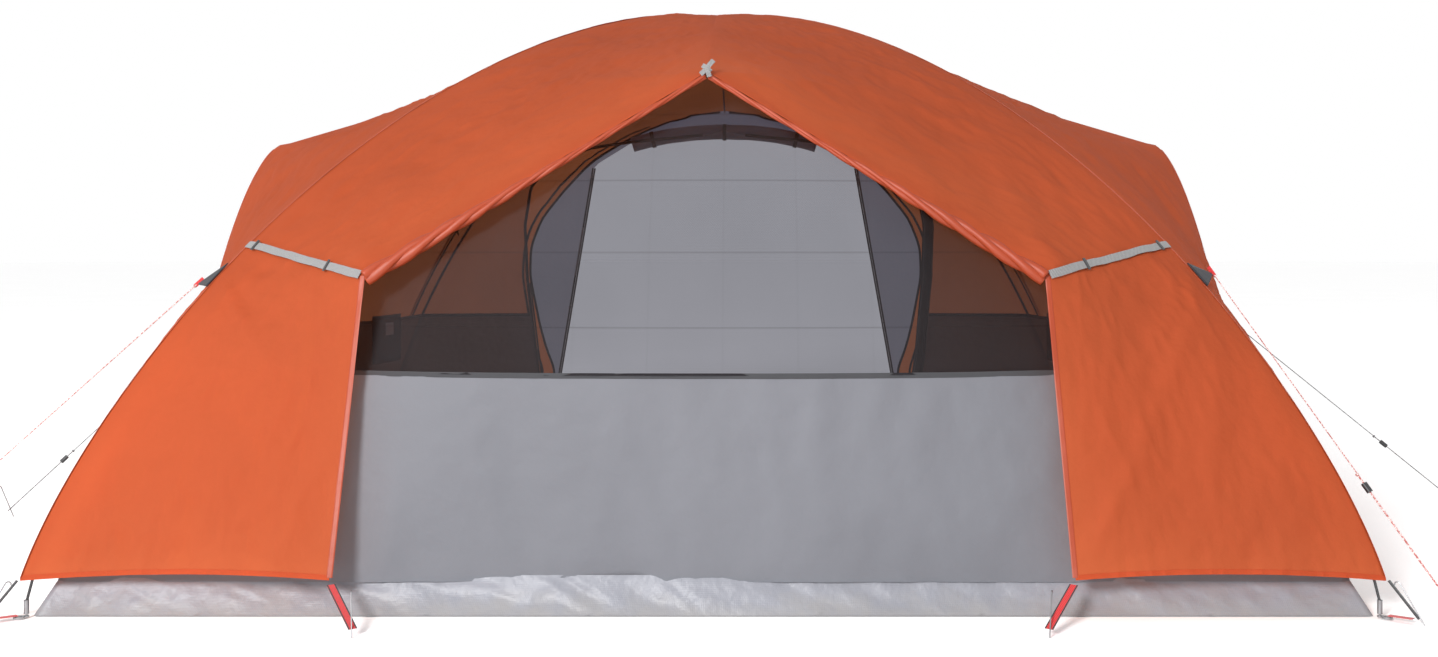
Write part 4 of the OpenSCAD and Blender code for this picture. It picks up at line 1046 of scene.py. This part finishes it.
def tab_sheet(a, b, tip):
    """A triangular patch of doubled cloth that gathers to the line's end."""
    q = np.linspace(0, 1, 8)[:, None]
    s = np.linspace(0, 1, 8)[None, :, None]
    base = mix(np.asarray(a), np.asarray(b), s)
    return mix(base, np.asarray(tip) + 0 * base, q[..., None] * 0.93)


tab_grids = []
for name, (tab, _, _) in GUYS.items():
    sx = -1 if name.endswith("left") else 1
    if name.startswith("front"):
        low = FLY.corner(np.array(1.050), sx, -1) + (sx * 0.008, -0.008, 0)
        high = FLY.corner(np.array(1.130), sx, -1) + (sx * 0.008, -0.008, 0)
    else:
        x = float(mix(FLY.foot_x, FLY.top_x, 1.1 / FLY.hoop_top)) + 0.003
        low, high = (sx * x, -0.050, 1.115), (sx * x, 0.050, 1.115)
    tab_grids.append(tab_sheet(low, high, tab))
tabs = cloth_from("guy_out_tabs", tab_grids, M["pocket"], 0.0001)
thicken = tabs.modifiers.new("thickness", "SOLIDIFY")
thicken.thickness = 0.003
own(tabs, "webbing_black", "guy_tabs")
loops = []
for name in GUYS:
    tab, d, s, _, _ = guy_frame(name)
    loops.append((np.array([tab - d * 0.030, tab - d * 0.012, tab + d * 0.010]), s))
own(ribbon("guy_tab_loops", loops, 0.014, 0.002, M["red_web"]), "webbing_red")


# ---------------------------------------------------------------- zips
TOOTH_PITCH = 0.006


def block_at(centre, x, y, z):
    """The transform that makes a unit cube a block with edges x, y and z."""
    return Matrix(((x[0], y[0], z[0], centre[0]), (x[1], y[1], z[1], centre[1]),
                   (x[2], y[2], z[2], centre[2]), (0, 0, 0, 1)))


def zip_line(a, b, out, name, nodes):
    """Two woven tapes with a row of teeth between them that stand left and right in turn."""
    a, b, out = np.asarray(a), np.asarray(b), unit(out)
    run = unit(b - a)
    across = np.cross(run, out)
    length = np.linalg.norm(b - a)
    count = int(length / TOOTH_PITCH)
    bm = bmesh.new()
    bm.loops.layers.uv.new("metres")
    for k in range(count):
        aside = 0.0012 if k % 2 else -0.0012
        centre = a + run * (k + 0.5) * TOOTH_PITCH + across * aside + out * 0.0015
        block = block_at(centre, across * 0.0058, out * 0.0024, run * 0.0030)
        bmesh.ops.create_cube(bm, size=1, matrix=block)
    teeth = finish_mesh(f"{name}_teeth", bm, M["teeth"], smooth_faces=False)
    own(teeth, "zip_black")
    tape = [(np.array([mix(a, b, q) + across * w for q in np.linspace(0, 1, 12)]), out)
            for w in (-0.0065, 0.0065)]
    own(ribbon(f"{name}_tape", tape, 0.009, 0.001, M["binding"]), "zip_black", *nodes)


zip_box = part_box("rear_zips")
REAR_OUT = unit((0, REAR_TOP[2] - HEM_Z, REAR_FOOT_Y - REAR_TOP[1]))


def door_point(z, sx):
    return np.array([sx * float(curve_of(DOOR, z)), float(rear_y(z)), z])


ZIP_LOW, ZIP_HIGH = float(zip_box[0][2]) + 0.002, float(zip_box[1][2]) - 0.002
zip_line(door_point(ZIP_LOW, -1), door_point(ZIP_HIGH, -1), REAR_OUT, "zip_left", ("rear_zips",))
zip_line(door_point(ZIP_LOW, 1), door_point(ZIP_HIGH, 1), REAR_OUT, "zip_right", ())
# The inner door's zip runs between these two points
IZ_LOW, IZ_HIGH = np.array([-1.128, 2.04606, 0.250]), np.array([-1.174, 1.78902, 0.960])
zip_line(IZ_LOW, IZ_HIGH, np.cross([-1, 0, 0], IZ_HIGH - IZ_LOW), "inner_zip", ("inner_zip",))


# ---------------------------------------------------------------- pockets
POCKET_HALF_W, POCKET_H = 0.178, 0.258
POCKET_TOP, POCKET_FLOOR = 0.790, 0.531


def pocket(sx):
    """The pocket's front and the way it faces, a little in from the inner tent's side."""
    top = np.array(POCKET_TOP)
    a, b = INNER.side(top, sx, 1), INNER.corner(top, sx, 1)
    run = unit([b[0] - a[0], b[1] - a[1], 0])
    inward = unit([-sx * run[1], sx * run[0], 0])
    centre = mix(a, b, 0.46) + inward * 0.030
    centre[2] = POCKET_FLOOR
    s = np.linspace(-1, 1, 26)[None, :, None]
    q = np.linspace(0, 1, 16)[:, None, None]
    mouth = np.sqrt(np.clip(1 - (2 * q - 1) ** 6, 0, 1))
    bulge = 0.024 * np.sqrt(np.clip(1 - s ** 4, 0, 1)) * (0.55 + 0.45 * mouth)
    flat = centre + run * s * POCKET_HALF_W + np.array([0, 0, 1.0]) * q * POCKET_H
    return flat + inward * bulge, inward


for side, word in ((-1, "left"), (1, "right")):
    pocket_grid, inward = pocket(side)
    piece = cloth_from(f"wall_pocket_{word}", [pocket_grid], M["pocket"])
    own(piece, "mesh_black", f"pocket_{word}")
    hem = (pocket_grid[-1] + inward * 0.001, inward)
    own(ribbon(f"pocket_hem_{word}", [hem], 0.016, 0.003, M["binding"]), "webbing_black")
    window = pocket_grid[9:14, 8:16] + inward * 0.0025
    patch = cloth_from(f"pocket_window_{word}", [window], M["label"])
    own(patch, "mesh_black")


# ---------------------------------------------------------------- straps
def strap_line(a, b):
    return mix(a, b, np.linspace(0, 1, 12)[:, None])


def face_of(a, b):
    """The upper side of a strap that runs from a to b."""
    run = unit(b - a)
    across = unit(np.cross(run, [0, 0, 1]))
    return np.cross(across, run)


corner, hem, door, edges = [], [], [], []
for sx in (-1, 1):
    for sy in (-1, 1):
        k = np.array([sx, sy, 1])
        a, b = np.array([2.185, 2.185, 0.013]) * k, np.array([2.238, 2.238, 0.016]) * k
        corner.append((strap_line(a, b), face_of(a, b)))
        a, b = np.array([2.184, 2.184, 0.124]) * k, np.array([2.250, 2.250, 0.018]) * k
        hem.append((strap_line(a, b), face_of(a, b)))
        a, b = np.array([1.169, 2.239, 0.123]) * k, np.array([1.062, 2.376, 0.022]) * k
        line, face = strap_line(a, b), face_of(a, b)
        door.append((line, face))
        across = unit(np.cross(b - a, face))
        edges += [(line + across * w + face * 0.0012, face) for w in (-0.0120, 0.0120)]
own(ribbon("corner_webbing", corner, 0.025, 0.002, M["red_web"]), "webbing_red", "corner_straps")
own(ribbon("hem_elastics", hem, 0.018, 0.003, M["black_web"]), "webbing_black", "hem_straps")
own(ribbon("door_webbing", door, 0.028, 0.002, M["red_web"]), "webbing_red", "door_straps")
own(ribbon("door_webbing_edges", edges, 0.004, 0.0018, M["black_web"]), "webbing_black")

# ---------------------------------------------------------------- carried-over CAD pieces
FINISHES = {
    "rod": ["main_pole_a", "main_pole_b", "side_pole_left", "side_pole_right", "ridge_pole"],
    "steel": ["pole_ferrules", "pole_tips", "foot_rings", "rear_slider_left", "rear_slider_right",
              "inner_slider", "ground_pegs", "guy_pegs"],
    "plastic": ["pole_clips", "rear_pull_left", "rear_pull_right", "inner_pull", "runner_front_left",
                "runner_front_right", "runner_side_left", "runner_side_right"],
    "black_web": ["rear_door_ties"],
}
for finish, names in FINISHES.items():
    for node in names:
        piece = NODES[node]
        for slot in piece.material_slots:
            slot.material = M[finish]
